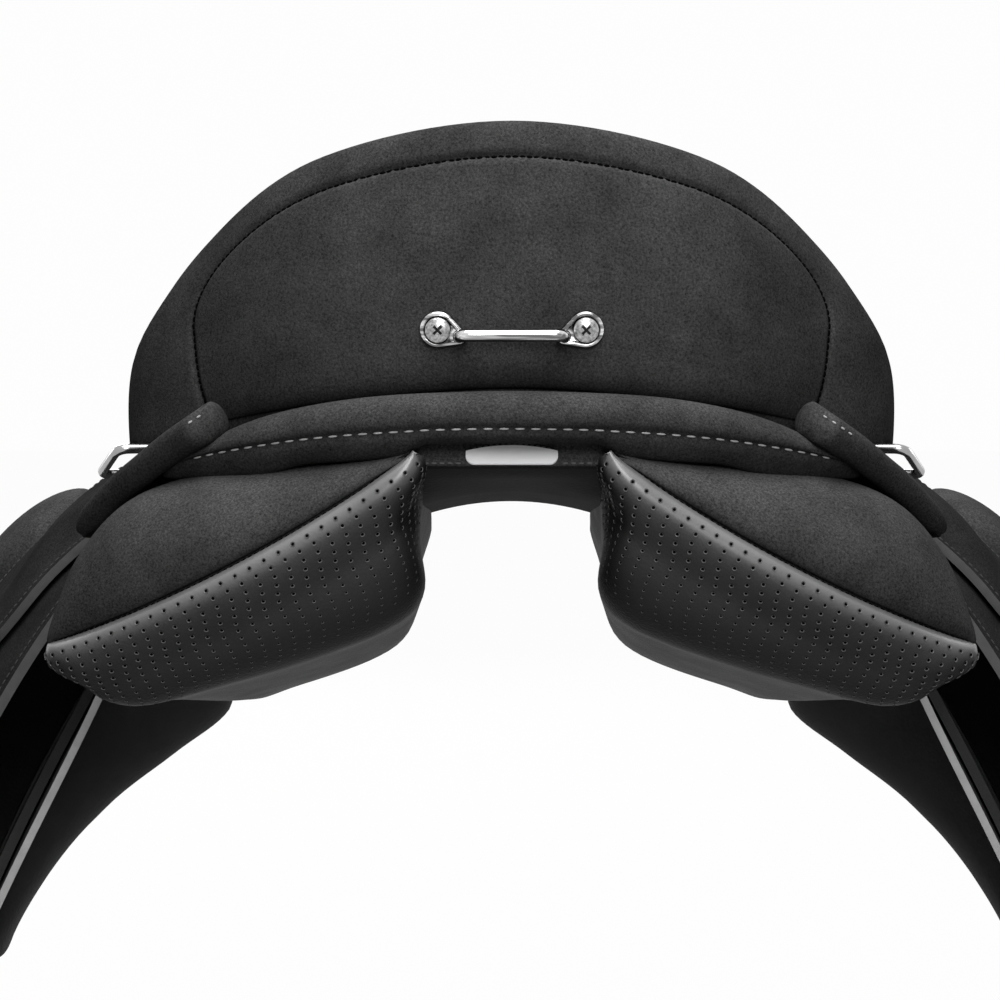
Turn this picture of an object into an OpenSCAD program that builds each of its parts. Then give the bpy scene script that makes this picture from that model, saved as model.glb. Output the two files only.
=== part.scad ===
// Endurance saddle seen from behind: seat, cantle, two panels, flaps, skirts and fittings.
// Millimetres. x runs to the saddle's right side, y to its front, z up.
// The origin lies on the middle plane, at the level where the panels bear on the back.

/* [Seat] */
// Height of the cantle's crest above the bearing level
cantle_h = 257.5; // [245:0.5:270]
// Half width of the cantle where it is widest
cantle_hw = 164.5; // [160:0.5:169]
// Distance of the cantle's crest behind the middle
seat_back = 224; // [218:1:230]
// Distance of the pommel's crest before the middle
seat_front = 222; // [216:1:230]
// Height of the pommel's crest
pommel_h = 212; // [204:1:222]
// Height of the seat's deepest point
seat_low_h = 143; // [140:1:148]
// Thickness of the seat leather
cover_t = 2.5; // [2:0.1:3]
// Thickness of the seat's foam
foam_t = 20; // [16:1:22]
// Thickness of the tree's shell
tree_t = 7; // [6:0.5:8]
// Crown of the padded cantle back over the seat leather
back_crown = 7; // [5:0.5:9]

/* [Panels] */
// Half width of the channel between the panels
gullet_hw = 40; // [37:0.5:43]
// Half width over the panels at the back
panel_hw = 201; // [196:1:205]
// Thickness of the panels' leather
lining_t = 2.6; // [2:0.1:3]
// Width of the badge plate
badge_w = 39; // [34:1:44]
// Thickness of the badge plate
badge_t = 1.5; // [1:0.1:2]

/* [Flaps] */
// Lowest level of the flaps
flap_low = -235; // [-245:1:-225]
// Thickness of the flap leather
flap_t = 4.5; // [4:0.1:5]
// Thickness of the skirt leather
skirt_t = 4; // [3.5:0.1:4.5]
// Thickness of the sweat flap
sweat_t = 3.5; // [3:0.1:4]
// Rise of the knee block over the flap
block_h = 20; // [16:1:24]
// Width of a billet strap
billet_w = 28; // [25:1:30]
// Thickness of a billet strap
billet_t = 4.5; // [4:0.1:5]
// Diameter of a billet's tongue hole
billet_hole_d = 5.5; // [5:0.1:6]
// Distance from one tongue hole to the next along a billet
billet_pitch = 25; // [22:1:27]

/* [Fittings] */
// Diameter of the cantle bar
bar_d = 5.5; // [5:0.1:6.5]
// Distance between the cantle bar's screws
bar_span = 62; // [58:1:68]
// Clear height of the strap gap behind the cantle bar
bar_gap = 7; // [5:0.5:9]
// Diameter of the cantle bar's eye plates
eye_d = 16; // [14.5:0.5:18]
// Diameter of the screw heads
head_d = 10.5; // [9:0.5:11.5]
// Diameter of the screw shanks
shank_d = 4.5; // [4:0.1:5]
// Diameter of the dee rings' wire
dee_wire = 4.4; // [3.8:0.1:5]
// Clear width of a dee ring
dee_w = 24; // [22:0.5:26]
// Clear depth of a dee ring
dee_depth = 22; // [20:0.5:25]
// Diameter of the stirrup bar
stirrup_d = 8; // [7:0.5:9]
// Clear gap between the stirrup bar and its plate
stirrup_gap = 18; // [16:0.5:19]
// Free length of the stirrup bar
stirrup_len = 78; // [70:1:82]
// Thickness of the steel gullet plate
gullet_t = 5; // [4:0.5:6]

/* [Hidden] */
$fn = 40;

// Gap left between neighbouring pieces
fit_gap = 0.3;
// Gap between leather laid on a curved face and that face
lay_gap = 0.6;
// Radial play of a dee ring in its tab
dee_play = 0.06;

suede = [0.16, 0.16, 0.17];
leather = [0.2, 0.2, 0.21];
steel = [0.75, 0.76, 0.78];
pale = [0.95, 0.95, 0.95];
wooden = [0.7, 0.55, 0.36];
foam = [0.85, 0.8, 0.55];

// Small helpers
function lerp(a, b, t) = a + (b - a) * t;
function clamp01(t) = max(0, min(1, t));
function unit(v) = v / norm(v);
function ease(w) = let (c = clamp01(w)) c * c * (3 - 2 * c);
function mirrored(p) = [-p.x, p.y, p.z];
function bezier(p, u) = pow(1 - u, 3) * p[0] + 3 * u * pow(1 - u, 2) * p[1]
    + 3 * u * u * (1 - u) * p[2] + pow(u, 3) * p[3];
function catmull(a, b, c, d, f) = 0.5 * (2 * b + (c - a) * f
    + (2 * a - 5 * b + 4 * c - d) * f * f + (3 * b - a - 3 * c + d) * f * f * f);

// Curve through the keys of one half; the other half mirrors it at both ends
function half_curve(keys, t) = let (n = len(keys) - 1, i = min(n - 1, floor(t)),
    a = i == 0 ? mirrored(keys[1]) : keys[i - 1],
    d = i + 2 > n ? mirrored(keys[n - 1]) : keys[i + 2])
    catmull(a, keys[i], keys[i + 1], d, t - i);

// Value at y of keys given at the stations
function station_of(ys, y, i = 0) = i >= len(ys) - 2 || y < ys[i + 1] ? i : station_of(ys, y, i + 1);
function keyed(ys, keys, y) = let (i = station_of(ys, y), f = clamp01((y - ys[i]) / (ys[i + 1] - ys[i])))
    catmull(keys[max(0, i - 1)], keys[i], keys[i + 1], keys[min(len(keys) - 1, i + 2)], f);

// Faces of a grid of points, rows by columns, seen from the side that row x column faces
function grid_faces(rows, cols, first, wrap, flip) = [
    for (i = [0:rows - 2], j = [0:cols - (wrap ? 1 : 2)])
        let (a = first + i * cols + j, b = first + i * cols + (j + 1) % cols, c = b + cols, d = a + cols)
        each flip ? [[a, d, c], [a, c, b]] : [[a, b, c], [a, c, d]]
];

// Faces between two rows of points
function rim_faces(a, b) = [
    for (k = [0:len(a) - 2]) each [[a[k], b[k], b[k + 1]], [a[k], b[k + 1], a[k + 1]]]
];

// Solid between an outer and an inner grid of points
module slab(outer, inner) {
    rows = len(outer);
    cols = len(outer[0]);
    n = rows * cols;
    border = concat(
        [for (j = [0:cols - 1]) j],
        [for (i = [1:rows - 1]) i * cols + cols - 1],
        [for (j = [cols - 2:-1:0]) (rows - 1) * cols + j],
        [for (i = [rows - 2:-1:0]) i * cols]
    );
    polyhedron(
        points = concat([for (r = outer) each r], [for (r = inner) each r]),
        faces = concat(
            grid_faces(rows, cols, 0, false, false),
            grid_faces(rows, cols, n, false, true),
            rim_faces(border, [for (k = border) k + n])
        )
    );
}

// Solid from closed loops of points with a fan at each end
module tube(loops) {
    rows = len(loops);
    cols = len(loops[0]);
    middle = function (p) [for (k = [0:2]) (min([for (q = p) q[k]]) + max([for (q = p) q[k]])) / 2];
    n = rows * cols;
    last = n - cols;
    polyhedron(
        points = concat([for (r = loops) each r], [middle(loops[0]), middle(loops[rows - 1])]),
        faces = concat(
            grid_faces(rows, cols, 0, true, false),
            [for (j = [0:cols - 1]) [n, (j + 1) % cols, j]],
            [for (j = [0:cols - 1]) [n + 1, last + j, last + (j + 1) % cols]]
        )
    );
}

// Shell between two stacks of closed loops whose first loop is closed by strips from side to side
module bowl(outer, inner) {
    rows = len(outer);
    cols = len(outer[0]);
    n = rows * cols;
    half = cols / 2;
    ring = [for (j = [0:cols]) (rows - 1) * cols + j % cols];
    strip = [for (j = [1:half - 1]) [j, cols - j]];
    closing = concat(
        [[0, cols - 1, 1]],
        [for (k = [0:len(strip) - 2]) each [
            [strip[k][0], strip[k][1], strip[k + 1][1]],
            [strip[k][0], strip[k + 1][1], strip[k + 1][0]]
        ]],
        [[half - 1, half + 1, half]]
    );
    polyhedron(
        points = concat([for (r = outer) each r], [for (r = inner) each r]),
        faces = concat(
            grid_faces(rows, cols, 0, true, false),
            grid_faces(rows, cols, n, true, true),
            rim_faces([for (k = ring) k + n], ring),
            closing,
            [for (f = closing) [f[0] + n, f[2] + n, f[1] + n]]
        )
    );
}

// Child set at p with its x along u and its y along w
module place(p, u, w) {
    n = cross(u, w);
    multmatrix([
        [u.x, w.x, n.x, p.x],
        [u.y, w.y, n.y, p.y],
        [u.z, w.z, n.z, p.z],
        [0, 0, 0, 1]
    ]) children();
}

module other_side() {
    mirror([1, 0, 0]) children();
}

// Seat surface
cantle_base = 109;
cantle_wrap = 86;
rim_power = 0.905;
function rim(a) = [cantle_hw * pow(sin(a), rim_power), -seat_back + cantle_wrap * pow(sin(a), 2),
    cantle_base + (cantle_h - cantle_base) * pow(cos(a), rim_power)];

// Line along which the flap's upper edge bends
hinge_y = -40;
hinge_x = 138;
hinge_z = 100;
hinge_slope = -0.24;
function hinge(y) = [hinge_x + (y - hinge_y) * hinge_slope, y, hinge_z];

// Overhang and height of the seat's lower edge over that line
edge_out = -2;
edge_up = 14;
function waist_edge(y, up) = hinge(y) + [edge_out, 0, edge_up + up];

crest_keys = [
    [0, -seat_back, cantle_h], rim(28), rim(52), rim(70),
    [124, -50, 150], [98, 50, 147], [80, 135, 161],
    [55, seat_front - 27, pommel_h - 16], [0, seat_front, pommel_h]
];
// Height of the seat's lower edge at the cantle's sides
cantle_low = 115.5;
edge_keys = [
    [0, -seat_back - 7, 141], [75, -seat_back + 2, 135], [128, -seat_back + 33, 126],
    [cantle_hw + 3.5, -seat_back + 82, cantle_low],
    waist_edge(-45, 0), waist_edge(55, 0), waist_edge(140, 3),
    [62, seat_front - 15, pommel_h - 54], [0, seat_front + 4, pommel_h - 36]
];
key_span = len(crest_keys) - 1;

// Share of the crest's distance from the middle at which the seat's flat floor starts
floor_share = 0.52;
floor_y = -25;
seat_dome = 5;
function floor_z(y) = seat_low_h + (y < floor_y ? 0.0021 : 0.0009) * pow(y - floor_y, 2);
function seat_top(c, w) = let (y = c.y * floor_share)
    [c.x * w, lerp(y, c.y, w), lerp(floor_z(y), c.z, ease(pow(w, 1.3)))
        + 4 * seat_dome * w * (1 - w) * pow(c.x / cantle_hw, 2)];
function seat_side(c, e, v) = let (k = [lerp(c.x, e.x, 1.3), lerp(c.y, e.y, 1.3), c.z - 4])
    pow(1 - v, 2) * c + 2 * v * (1 - v) * k + v * v * e;
function seat_half(t, r) = let (c = half_curve(crest_keys, t), e = half_curve(edge_keys, t))
    r <= 1 ? seat_top(c, r) : seat_side(c, e, r - 1);
function seat_pt(a, r) = let (b = (a + 360) % 360)
    b <= 180 ? seat_half(b / 180 * key_span, r) : mirrored(seat_half((360 - b) / 180 * key_span, r));
function seat_normal(a, r) = unit(cross(
    seat_pt(a, min(2, r + 0.02)) - seat_pt(a, max(0.05, r - 0.02)),
    seat_pt(a + 1, r) - seat_pt(a - 1, r)));
function seat_in(a, r, d) = seat_pt(a, r) - d * seat_normal(a, r);

seat_cols = 44;
cover_rows = [0.12, 0.32, 0.52, 0.7, 0.85, 0.94, 1, 1.06, 1.14, 1.28, 1.48, 1.72, 2];
inner_rows = [0.12, 0.32, 0.52, 0.7, 0.85, 0.94];
function seat_loops(rows, d, drop) = [
    for (r = rows) [for (j = [0:seat_cols - 1]) seat_in(j * 360 / seat_cols, r, d) - [0, 0, drop]]
];

foam_d = cover_t + fit_gap;
tree_drop = foam_t + fit_gap;
tree_under = seat_loops(inner_rows, foam_d, tree_drop + tree_t);

module seat_cover() {
    color(suede) bowl(seat_loops(cover_rows, 0, 0), seat_loops(cover_rows, cover_t, 0));
}

module seat_foam() {
    color(foam) bowl(seat_loops(inner_rows, foam_d, 0), seat_loops(inner_rows, foam_d, foam_t));
}

module tree_shell() {
    color(wooden) bowl(seat_loops(inner_rows, foam_d, tree_drop), tree_under);
}

// Cantle back: a pad over the seat leather, bounded by the stitched seam.
// s runs across it from -1 to 1 and w down it from 0 to 1.
back_cols = 26;
back_rows = 7;
back_low = 1.985;
side_r = 1.6;
function seam_r(s) = side_r - (0.26 + 0.1 * s * s) * sqrt(clamp01(1 - pow(abs(s), 6.5)));
function back_angle(w) = 49.3 - 1.2 * w - 3 * pow(w, 4);
function back_pt(s, w, d) = seat_in(s * back_angle(w), lerp(seam_r(s), back_low, w), -d);
function back_swell(s, w) = pow(clamp01(4 * w * (1 - w)), 0.4) * sqrt(clamp01(1 - pow(s, 4)));
back_edge = 1.2;
function back_rise(s, w) = back_edge + (back_crown - back_edge) * back_swell(s, w);
function back_grid(outer) = [for (i = [0:back_rows]) [for (j = [0:back_cols])
    let (s = sin(lerp(-90, 90, j / back_cols)), w = pow(i / back_rows, 0.75))
    back_pt(s, w, lay_gap + (outer ? back_rise(s, w) : 0))]];

// Cantle bar: two eye plates screwed to the pad, with a bar standing off between them
function pad_pt(s, w) = back_pt(s, w, lay_gap + back_rise(s, w));
function pad_normal(s, w) = unit(cross(
    pad_pt(s, w + 0.03) - pad_pt(s, w - 0.03), pad_pt(s + 0.02, w) - pad_pt(s - 0.02, w)));
bar_w = 0.8;
bar_at = pad_pt(0, bar_w) + fit_gap * pad_normal(0, bar_w);
eye_t = 3;
eye_tip = 9.5;
eye_tip_r = 3.5;
eye_droop = 20;
bar_drop = 4;
bar_r = bar_d / 2;
bar_out = bar_gap + bar_r;

// Share of the pad's half width at which it lies under a screw
function eye_share(s, n) = n == 0 ? s : eye_share(s * bar_span / 2 / pad_pt(s, bar_w).x, n - 1);
eye_s = eye_share(0.2, 6);
eye_n = pad_normal(eye_s, bar_w);
eye_u = unit(cross([0, 0, 1], eye_n));
eye_v = cross(eye_n, eye_u);
eye_at = pad_pt(eye_s, bar_w) + fit_gap * eye_n;
neck_at = eye_at - eye_tip * (cos(eye_droop) * eye_u + sin(eye_droop) * eye_v) + eye_t / 2 * eye_n;

module at_eye(side) {
    mirror([side < 0 ? 1 : 0, 0, 0]) place(eye_at, eye_u, eye_v) children();
}

// Outline of the teardrop plate, whose tip points to the bar
eye_lean = acos((eye_d / 2 - eye_tip_r) / eye_tip);
function arc(at, r, from, to, n) = [for (k = [0:n])
    let (a = lerp(from, to, k / n)) at + r * [cos(a), sin(a)]];
eye_outline = concat(arc([0, 0], eye_d / 2, eye_lean - 180, 180 - eye_lean, 28),
    arc([-eye_tip, 0], eye_tip_r, 180 - eye_lean, 180 + eye_lean, 8));

module eye_plate() {
    rotate([0, 0, eye_droop]) linear_extrude(eye_t) difference() {
        polygon(eye_outline);
        circle(d = shank_d + 0.2);
    }
}

// Bar: a round wire bent square to the plates at both ends
bar_bend = 4.5;
bar_mid = [0, bar_at.y - bar_out, bar_at.z - bar_drop];
bar_foot = [0, neck_at.y, neck_at.z];
module bar_wire() {
    straight = neck_at.x - bar_bend;
    place(bar_mid, [1, 0, 0], unit(bar_foot - bar_mid)) {
        translate([-straight, 0, 0]) rotate([0, 90, 0]) cylinder(r = bar_r, h = 2 * straight);
        for (side = [0, 1]) mirror([side, 0, 0]) {
            translate([straight, bar_bend, 0]) rotate([0, 0, -90])
                rotate_extrude(angle = 90) translate([bar_bend, 0]) circle(r = bar_r);
            translate([neck_at.x, bar_bend, 0]) rotate([-90, 0, 0])
                cylinder(r = bar_r, h = norm(bar_foot - bar_mid) - bar_bend);
        }
    }
}

module rod(a, b, r) {
    d = b - a;
    translate(a) rotate([0, acos(d.z / norm(d)), atan2(d.y, d.x)]) cylinder(r = r, h = norm(d));
}

module cantle_bar() {
    color(steel) {
        for (side = [-1, 1]) at_eye(side) eye_plate();
        bar_wire();
    }
}

module bar_screw() {
    head_h = 3;
    cross_w = 1.4;
    translate([0, 0, -back_crown + 1]) cylinder(d = shank_d, h = back_crown - 1 + eye_t + fit_gap);
    translate([0, 0, eye_t + 0.1]) difference() {
        intersection() {
            cylinder(d = head_d, h = head_h);
            translate([0, 0, head_h - head_d]) sphere(r = head_d);
        }
        for (turn = [0, 90]) rotate([0, 0, turn + 45])
            translate([-head_d * 0.28, -cross_w / 2, head_h - 1.4]) cube([head_d * 0.56, cross_w, 3]);
    }
}

module cantle_bar_screws() {
    color(steel) for (side = [-1, 1]) at_eye(side) bar_screw();
}

module cantle_back() {
    color(suede) difference() {
        slab(back_grid(true), back_grid(false));
        for (side = [-1, 1]) at_eye(side)
            translate([0, 0, -back_crown - 3]) cylinder(d = shank_d + 0.6, h = back_crown + 8);
    }
}

// Panel sections: the corners at five stations along y
panel_back = seat_back + 26;
panel_ys = [-195, -60, 60, 150, 205];
panel_wide = panel_hw - 201;
// Rise of the front pieces with the pommel
front_up = pommel_h - 212;
inner_top = [[gullet_hw, 119], [gullet_hw, 86], [gullet_hw + 2, 82],
    [gullet_hw + 6, 112.8 + front_up], [gullet_hw + 8, 116 + front_up]];
inner_low = [[gullet_hw + 7, 43], [gullet_hw + 12, 22], [gullet_hw + 14, 24],
    [gullet_hw + 10, 82 + front_up], [gullet_hw + 12, 92 + front_up]];
face_mid = [[132, 13], [102, 2], [96, 1], [80, 28], [76, 48]];
outer_low = [[panel_hw, 33], [152 + panel_wide, 18], [134, 4], [112, -4], [107, 10]];
outer_top = [[158 + panel_wide, 99], [137 + panel_wide, 64], [122, 56], [109, 44.8], [105, 47]];

// Middle of a and b moved sideways by the swell
function swollen(a, b, swell) = let (d = unit(b - a)) (a + b) / 2 + swell * [d[1], -d[0]];
// Open curve through the keys in n steps, without its last point
function open_curve(keys, n) = let (m = len(keys) - 1) [for (k = [0:n - 1])
    let (t = k * m / n, i = floor(t), a = i == 0 ? 2 * keys[0] - keys[1] : keys[i - 1],
        d = i + 2 > m ? 2 * keys[m] - keys[m - 1] : keys[i + 2]) catmull(a, keys[i], keys[i + 1], d, t - i)];
side_n = 13;
section_n = 2 * side_n;
function panel_section(y) = let (it = keyed(panel_ys, inner_top, y), il = keyed(panel_ys, inner_low, y),
    fm = keyed(panel_ys, face_mid, y), ol = keyed(panel_ys, outer_low, y), ot = keyed(panel_ys, outer_top, y))
    concat(open_curve([it, swollen(it, il, 4), il, fm, swollen(fm, ol, 13), ol], side_n),
        open_curve([ol, swollen(ol, ot, 9), ot, swollen(ot, it, 4), it], side_n));

// Point of the seam nearest to p; the seam sags from the inner top to the outer low corner
seam_sag = 6;
function on_seam(p, it, ol) = let (d = ol - it, t = clamp01((p - it) * d / (d * d)), n = unit([d[1], -d[0]]))
    it + d * t + 4 * seam_sag * t * (1 - t) * n;
panel_round = 52;
front_round = 40;
panel_nose = 205;
seam_sweep = 0.0042;
seam_open = 0.015;
function panel_loop(y, inset) = let (body = max(panel_ys[0], min(panel_nose - front_round, y)),
    s = panel_section(body), it = s[0], ol = s[side_n],
    c = (it + ol + s[floor(side_n / 2)] + s[side_n + floor(side_n / 2)]) / 4,
    back = (panel_ys[0] - y) / panel_round, front = (y - body) / front_round,
    w = back > 0 ? max(seam_open, sqrt(1 - back * back)) : 1, v = front > 0 ? sqrt(1 - front * front) : 1)
    [for (p = s) let (q = on_seam(p, it, ol), e = c + (lerp(q, p, w) - c) * v,
        g = e + unit(c - e) * min(inset, norm(c - e) * 0.4))
        [g[0], y + (back > 0 ? seam_sweep * back * pow(max(0, q[0] - 100), 2) : 0), g[1]]];
rear_y = -panel_back + 3;
panel_rows = [rear_y, rear_y + 3, rear_y + 9, rear_y + 20, rear_y + 34, -195, -145, -90, -35, 25, 80, 120, 150,
    172, 190, 203];
function shrunk(y, d) = lerp(y, -20, d / 220);
function panel_loops(inset) = [for (y = panel_rows) panel_loop(shrunk(y, inset), inset)];
// Columns of the loops, their outermost ones drawn in by half a gap
function drawn_in(p, q) = p + unit(q - p) * fit_gap / 2;
function columns(loops, from, to) = [for (r = loops) [for (j = [from:to]) let (p = r[j % section_n])
    j == from ? drawn_in(p, r[j + 1]) : j == to ? drawn_in(p, r[j - 1]) : p]];

module panel_core() {
    color(foam) tube(panel_loops(lining_t + fit_gap));
}

module panel_facing() {
    color(leather) slab(columns(panel_loops(0), 0, side_n), columns(panel_loops(lining_t), 0, side_n));
}

module panel_gusset() {
    color(suede) slab(columns(panel_loops(0), side_n, section_n),
        columns(panel_loops(lining_t), side_n, section_n));
}

// Collar: a padded crescent over the panels' back
collar_reach = 135;
collar_low = 121.5;
collar_h = 22;
collar_n = 18;
collar_round = 12;
collar_depth = 11;
function collar_top(x) = collar_low + collar_h - 0.00055 * pow(x, 2) - 5.6e-8 * pow(x, 4);
function collar_bottom(x) = collar_low - 0.00055 * pow(x, 2);
function collar_y(x) = -panel_back + 6.2 + 0.0023 * x * x;
function collar_loop(x) = let (h = max(2, (collar_top(x) - collar_bottom(x)) / 2),
    z = (collar_top(x) + collar_bottom(x)) / 2,
    e = sqrt(max(0.06, 1 - pow(abs(x) / (collar_reach + 2), 8))))
    [for (k = [0:collar_round - 1]) let (a = -k * 360 / collar_round)
        [x, collar_y(x) - collar_depth * e * sin(a), z + h * e * cos(a)]];

module panel_collar() {
    color(suede) tube([for (i = [0:collar_n]) collar_loop(collar_reach * cos(180 * i / collar_n))]);
}

// Strip that closes the channel's back, with the badge plate on it
strip_low = 110.5;
strip_t = 3;
strip_hw = gullet_hw - 0.5;
strip_y = -panel_back + 17;
strip_tall = collar_low - strip_low - 1.2;
strip_lean = 24;

module strip_frame() {
    translate([0, strip_y, strip_low]) rotate([90 - strip_lean, 0, 0]) children();
}

module gullet_strip() {
    color(suede) strip_frame() translate([-strip_hw, 0, 0]) cube([2 * strip_hw, strip_tall, strip_t]);
}

// Badge outline: rounded ends, a flat foot and a slightly arched top
badge_tall = strip_tall - 1.4;
badge_end = badge_tall * 0.42;
badge_sag = badge_tall * 0.3;
badge_arc = (pow(badge_w / 2, 2) + pow(badge_sag, 2)) / (2 * badge_sag);

module badge_outline() {
    half = badge_w / 2;
    intersection() {
        union() {
            translate([badge_end - half, 0]) square([badge_w - 2 * badge_end, badge_tall]);
            translate([-half, badge_end]) square([badge_w, badge_tall - 2 * badge_end]);
            for (x = [badge_end - half, half - badge_end], y = [badge_end, badge_tall - badge_end])
                translate([x, y]) circle(r = badge_end, $fn = 40);
        }
        translate([0, badge_tall - badge_arc]) circle(r = badge_arc, $fn = 120);
    }
}

module badge_plate() {
    color(pale) strip_frame() translate([0, 0.4, strip_t + 0.05]) linear_extrude(badge_t) badge_outline();
}

// Lining that roofs the channel from the strip to the pommel
roof_ys = [strip_y - 0.2, -170, -60, 40, 120, 178];
roof_zs = [110, 100, 90, 90, 106 + front_up, 116 + front_up];
roof_sag = 7;
sag_run = 45;
roof_t = 2.5;
roof_cols = 6;
roof_rows = 10;
roof_margin = 3;
function roof_grid(d) = [for (i = [0:roof_rows]) [for (j = [0:roof_cols])
    let (y = lerp(roof_ys[0], roof_ys[5], i / roof_rows), s = 2 * j / roof_cols - 1)
    [-s * (gullet_hw - roof_margin), y,
        keyed(roof_ys, roof_zs, y) - roof_sag * s * s * ease((y - roof_ys[0]) / sag_run) - d]]];

module gullet_lining() {
    color(leather) slab(roof_grid(0), roof_grid(roof_t));
}

// Flap surface: curves from the hinge line down, bowed outward between their ends
flap_rear = -95;
flap_span = 245;
bow_h = 18;
bow_y = 30;
function bow(y, u) = bow_h * (1 - pow((y - bow_y) / (y < bow_y ? 125 : 220), 2)) * ease(u / 0.25);
function flap_curve(y) = let (t = (y - flap_rear) / flap_span, h = hinge(y), p0 = [h.x, h.z],
    p3 = [lerp(296, 290, t), flap_low])
    [p0, p0 + lerp([92, -92], [155, -40], t), p3 + lerp([-11, 130], [-5, 255], t), p3];
function off_curve(c, u, y, d) = let (p = bezier(c, u), g = bezier(c, u + 0.01) - bezier(c, u - 0.01),
    n = unit([-g[1], g[0]]) * d) [p[0] + n[0], y, p[1] + n[1]];
function flap_pt(y, u, d) = off_curve(flap_curve(y), u, y, d + bow(y, u));

// Outline: y runs between the rear and front edges, drawn in toward the foot
function foot(v, from, narrow) = sqrt(1 - (1 - narrow * narrow) * pow(clamp01((v - from) / (1 - from)), 2));
function across(rear, front, k, f) = lerp((rear + front) / 2, k < 0.5 ? rear : front, abs(2 * k - 1) * f);

flap_rows = [0, 0.03, 0.08, 0.15, 0.25, 0.37, 0.5, 0.63, 0.75, 0.85, 0.92, 0.965, 0.99, 1];
flap_cols = 18;
notch_from = -24;
notch_to = 110;
notch_u = 0.15;
function notch(y) = notch_u * ease((y - notch_from) / 14) * ease((notch_to - y) / 14);
function flap_y(k, v) = across(flap_rear + 60 * pow(v, 4), 168 + 70 * sin(150 * v), k, foot(v, 0.74, 0.34));
function flap_grid(d) = [for (v = flap_rows) [for (j = [0:flap_cols])
    let (y = flap_y(j / flap_cols, v)) flap_pt(y, max(v, notch(y) * (1 - v) + v), d)]];

// Round welt at a bending edge
welt_r = 3;
module welt(y0, y1, d) {
    rod(flap_pt(y0, 0, d), flap_pt(y1, 0, d), welt_r);
}

module flap() {
    color(suede) {
        slab(flap_grid(flap_t / 2), flap_grid(-flap_t / 2));
        welt(flap_rear + 6, notch_from - 4, 0);
        welt(notch_to + 4, 160, 0);
    }
}

// Skirt: lies over the flap and rises over the stirrup bar
skirt_rear = -60;
skirt_front = 106;
skirt_low = 0.42;
skirt_off = 2 * welt_r + fit_gap + 0.4;
skirt_swell = 11;
function skirt_d(y, u) = skirt_off + skirt_swell * ease(u / 0.05) * ease((y + 50) / 40)
    - (skirt_swell + 1) * ease((u - 0.1) / 0.24) * ease((y + 50) / 40);
skirt_rows = [0, 0.05, 0.11, 0.18, 0.28, 0.42, 0.6, 0.77, 0.89, 0.965, 1];
skirt_cols = 12;
function skirt_grid(d) = [for (v = skirt_rows) [for (j = [0:skirt_cols])
    let (y = across(skirt_rear, skirt_front, j / skirt_cols, foot(v, 0.55, 0.4)), u = skirt_low * v)
    flap_pt(y, u, skirt_d(y, u) + d)]];

module skirt() {
    color(suede) {
        slab(skirt_grid(skirt_t / 2), skirt_grid(-skirt_t / 2));
        welt(skirt_rear + 4, skirt_front - 4, skirt_off);
    }
}

// Knee block: a padded crescent standing on the flap's front
block_rows = 10;
block_cols = 8;
block_top = 0.3;
block_low = 0.76;
function block_mid(v) = lerp(172, 190, ease(v * 1.4));
function block_hw(v) = lerp(46, 30, v) * sqrt(max(0.12, 1 - pow(abs(2 * v - 1), 5)));
function block_rise(k, v) = let (s = 2 * k - 1) 3 + (block_h * (1 - 0.35 * v) - 3)
    * pow(max(0, 1 - pow(abs(s), 3)), 0.5) * pow(max(0, 1 - pow(abs(2 * v - 1), 3)), 0.5);
function block_grid(outer) = [for (i = [0:block_rows]) [for (j = [0:block_cols])
    let (v = i / block_rows, k = j / block_cols, y = block_mid(v) + block_hw(v) * (2 * k - 1),
        u = lerp(block_top, block_low, v))
    flap_pt(y, u, flap_t / 2 + lay_gap + (outer ? block_rise(k, v) : 0))]];

module knee_block() {
    color(suede) slab(block_grid(true), block_grid(false));
}

// Sweat flap: hangs from the panel's flank
sweat_span = 245;
function sweat_curve(y) = let (t = (y - flap_rear) / sweat_span)
    lerp([[164, 62], [166, 8], [250, -100], [276, flap_low + 10]],
        [[114, 46], [205, 30], [262, -90], [270, flap_low + 10]], t);
function sweat_pt(y, u, d) = off_curve(sweat_curve(y), u, y, d);
sweat_rows = [0, 0.08, 0.17, 0.27, 0.38, 0.5, 0.62, 0.74, 0.84, 0.92, 0.97, 1];
sweat_cols = 14;
function sweat_grid(d) = [for (v = sweat_rows) [for (j = [0:sweat_cols])
    let (y = across(flap_rear + 60 * pow(v, 4), 150 + 50 * sin(120 * v), j / sweat_cols, foot(v, 0.76, 0.36)))
    sweat_pt(y, v, d)]];

module sweat_flap() {
    color(leather) slab(sweat_grid(sweat_t), sweat_grid(0));
}

// Fore pad: the panel's padded front below the tree, on the sweat flap's inner face
fore_us = [0.08, 0.15, 0.25, 0.4, 0.55, 0.66, 0.78];
fore_ts = [8, 36, 54, 47, 30, 18, 9];
fore_rows = 9;
fore_cols = 6;
fore_rear = 74;
fore_front = 182;
function fore_swell(k) = 0.25 + 0.75 * pow(1 - pow(abs(2 * k - 1), 3), 0.5);
function fore_grid(inner) = [for (i = [0:fore_rows]) [for (j = [0:fore_cols])
    let (u = lerp(fore_us[0], fore_us[6], i / fore_rows), k = j / fore_cols, y = lerp(fore_rear, fore_front, k))
    sweat_pt(y, u, -2 * lay_gap - (inner ? max(4, keyed(fore_us, fore_ts, u) * fore_swell(k)) : 0))]];

module panel_fore() {
    color(leather) slab(fore_grid(false), fore_grid(true));
}

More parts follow.
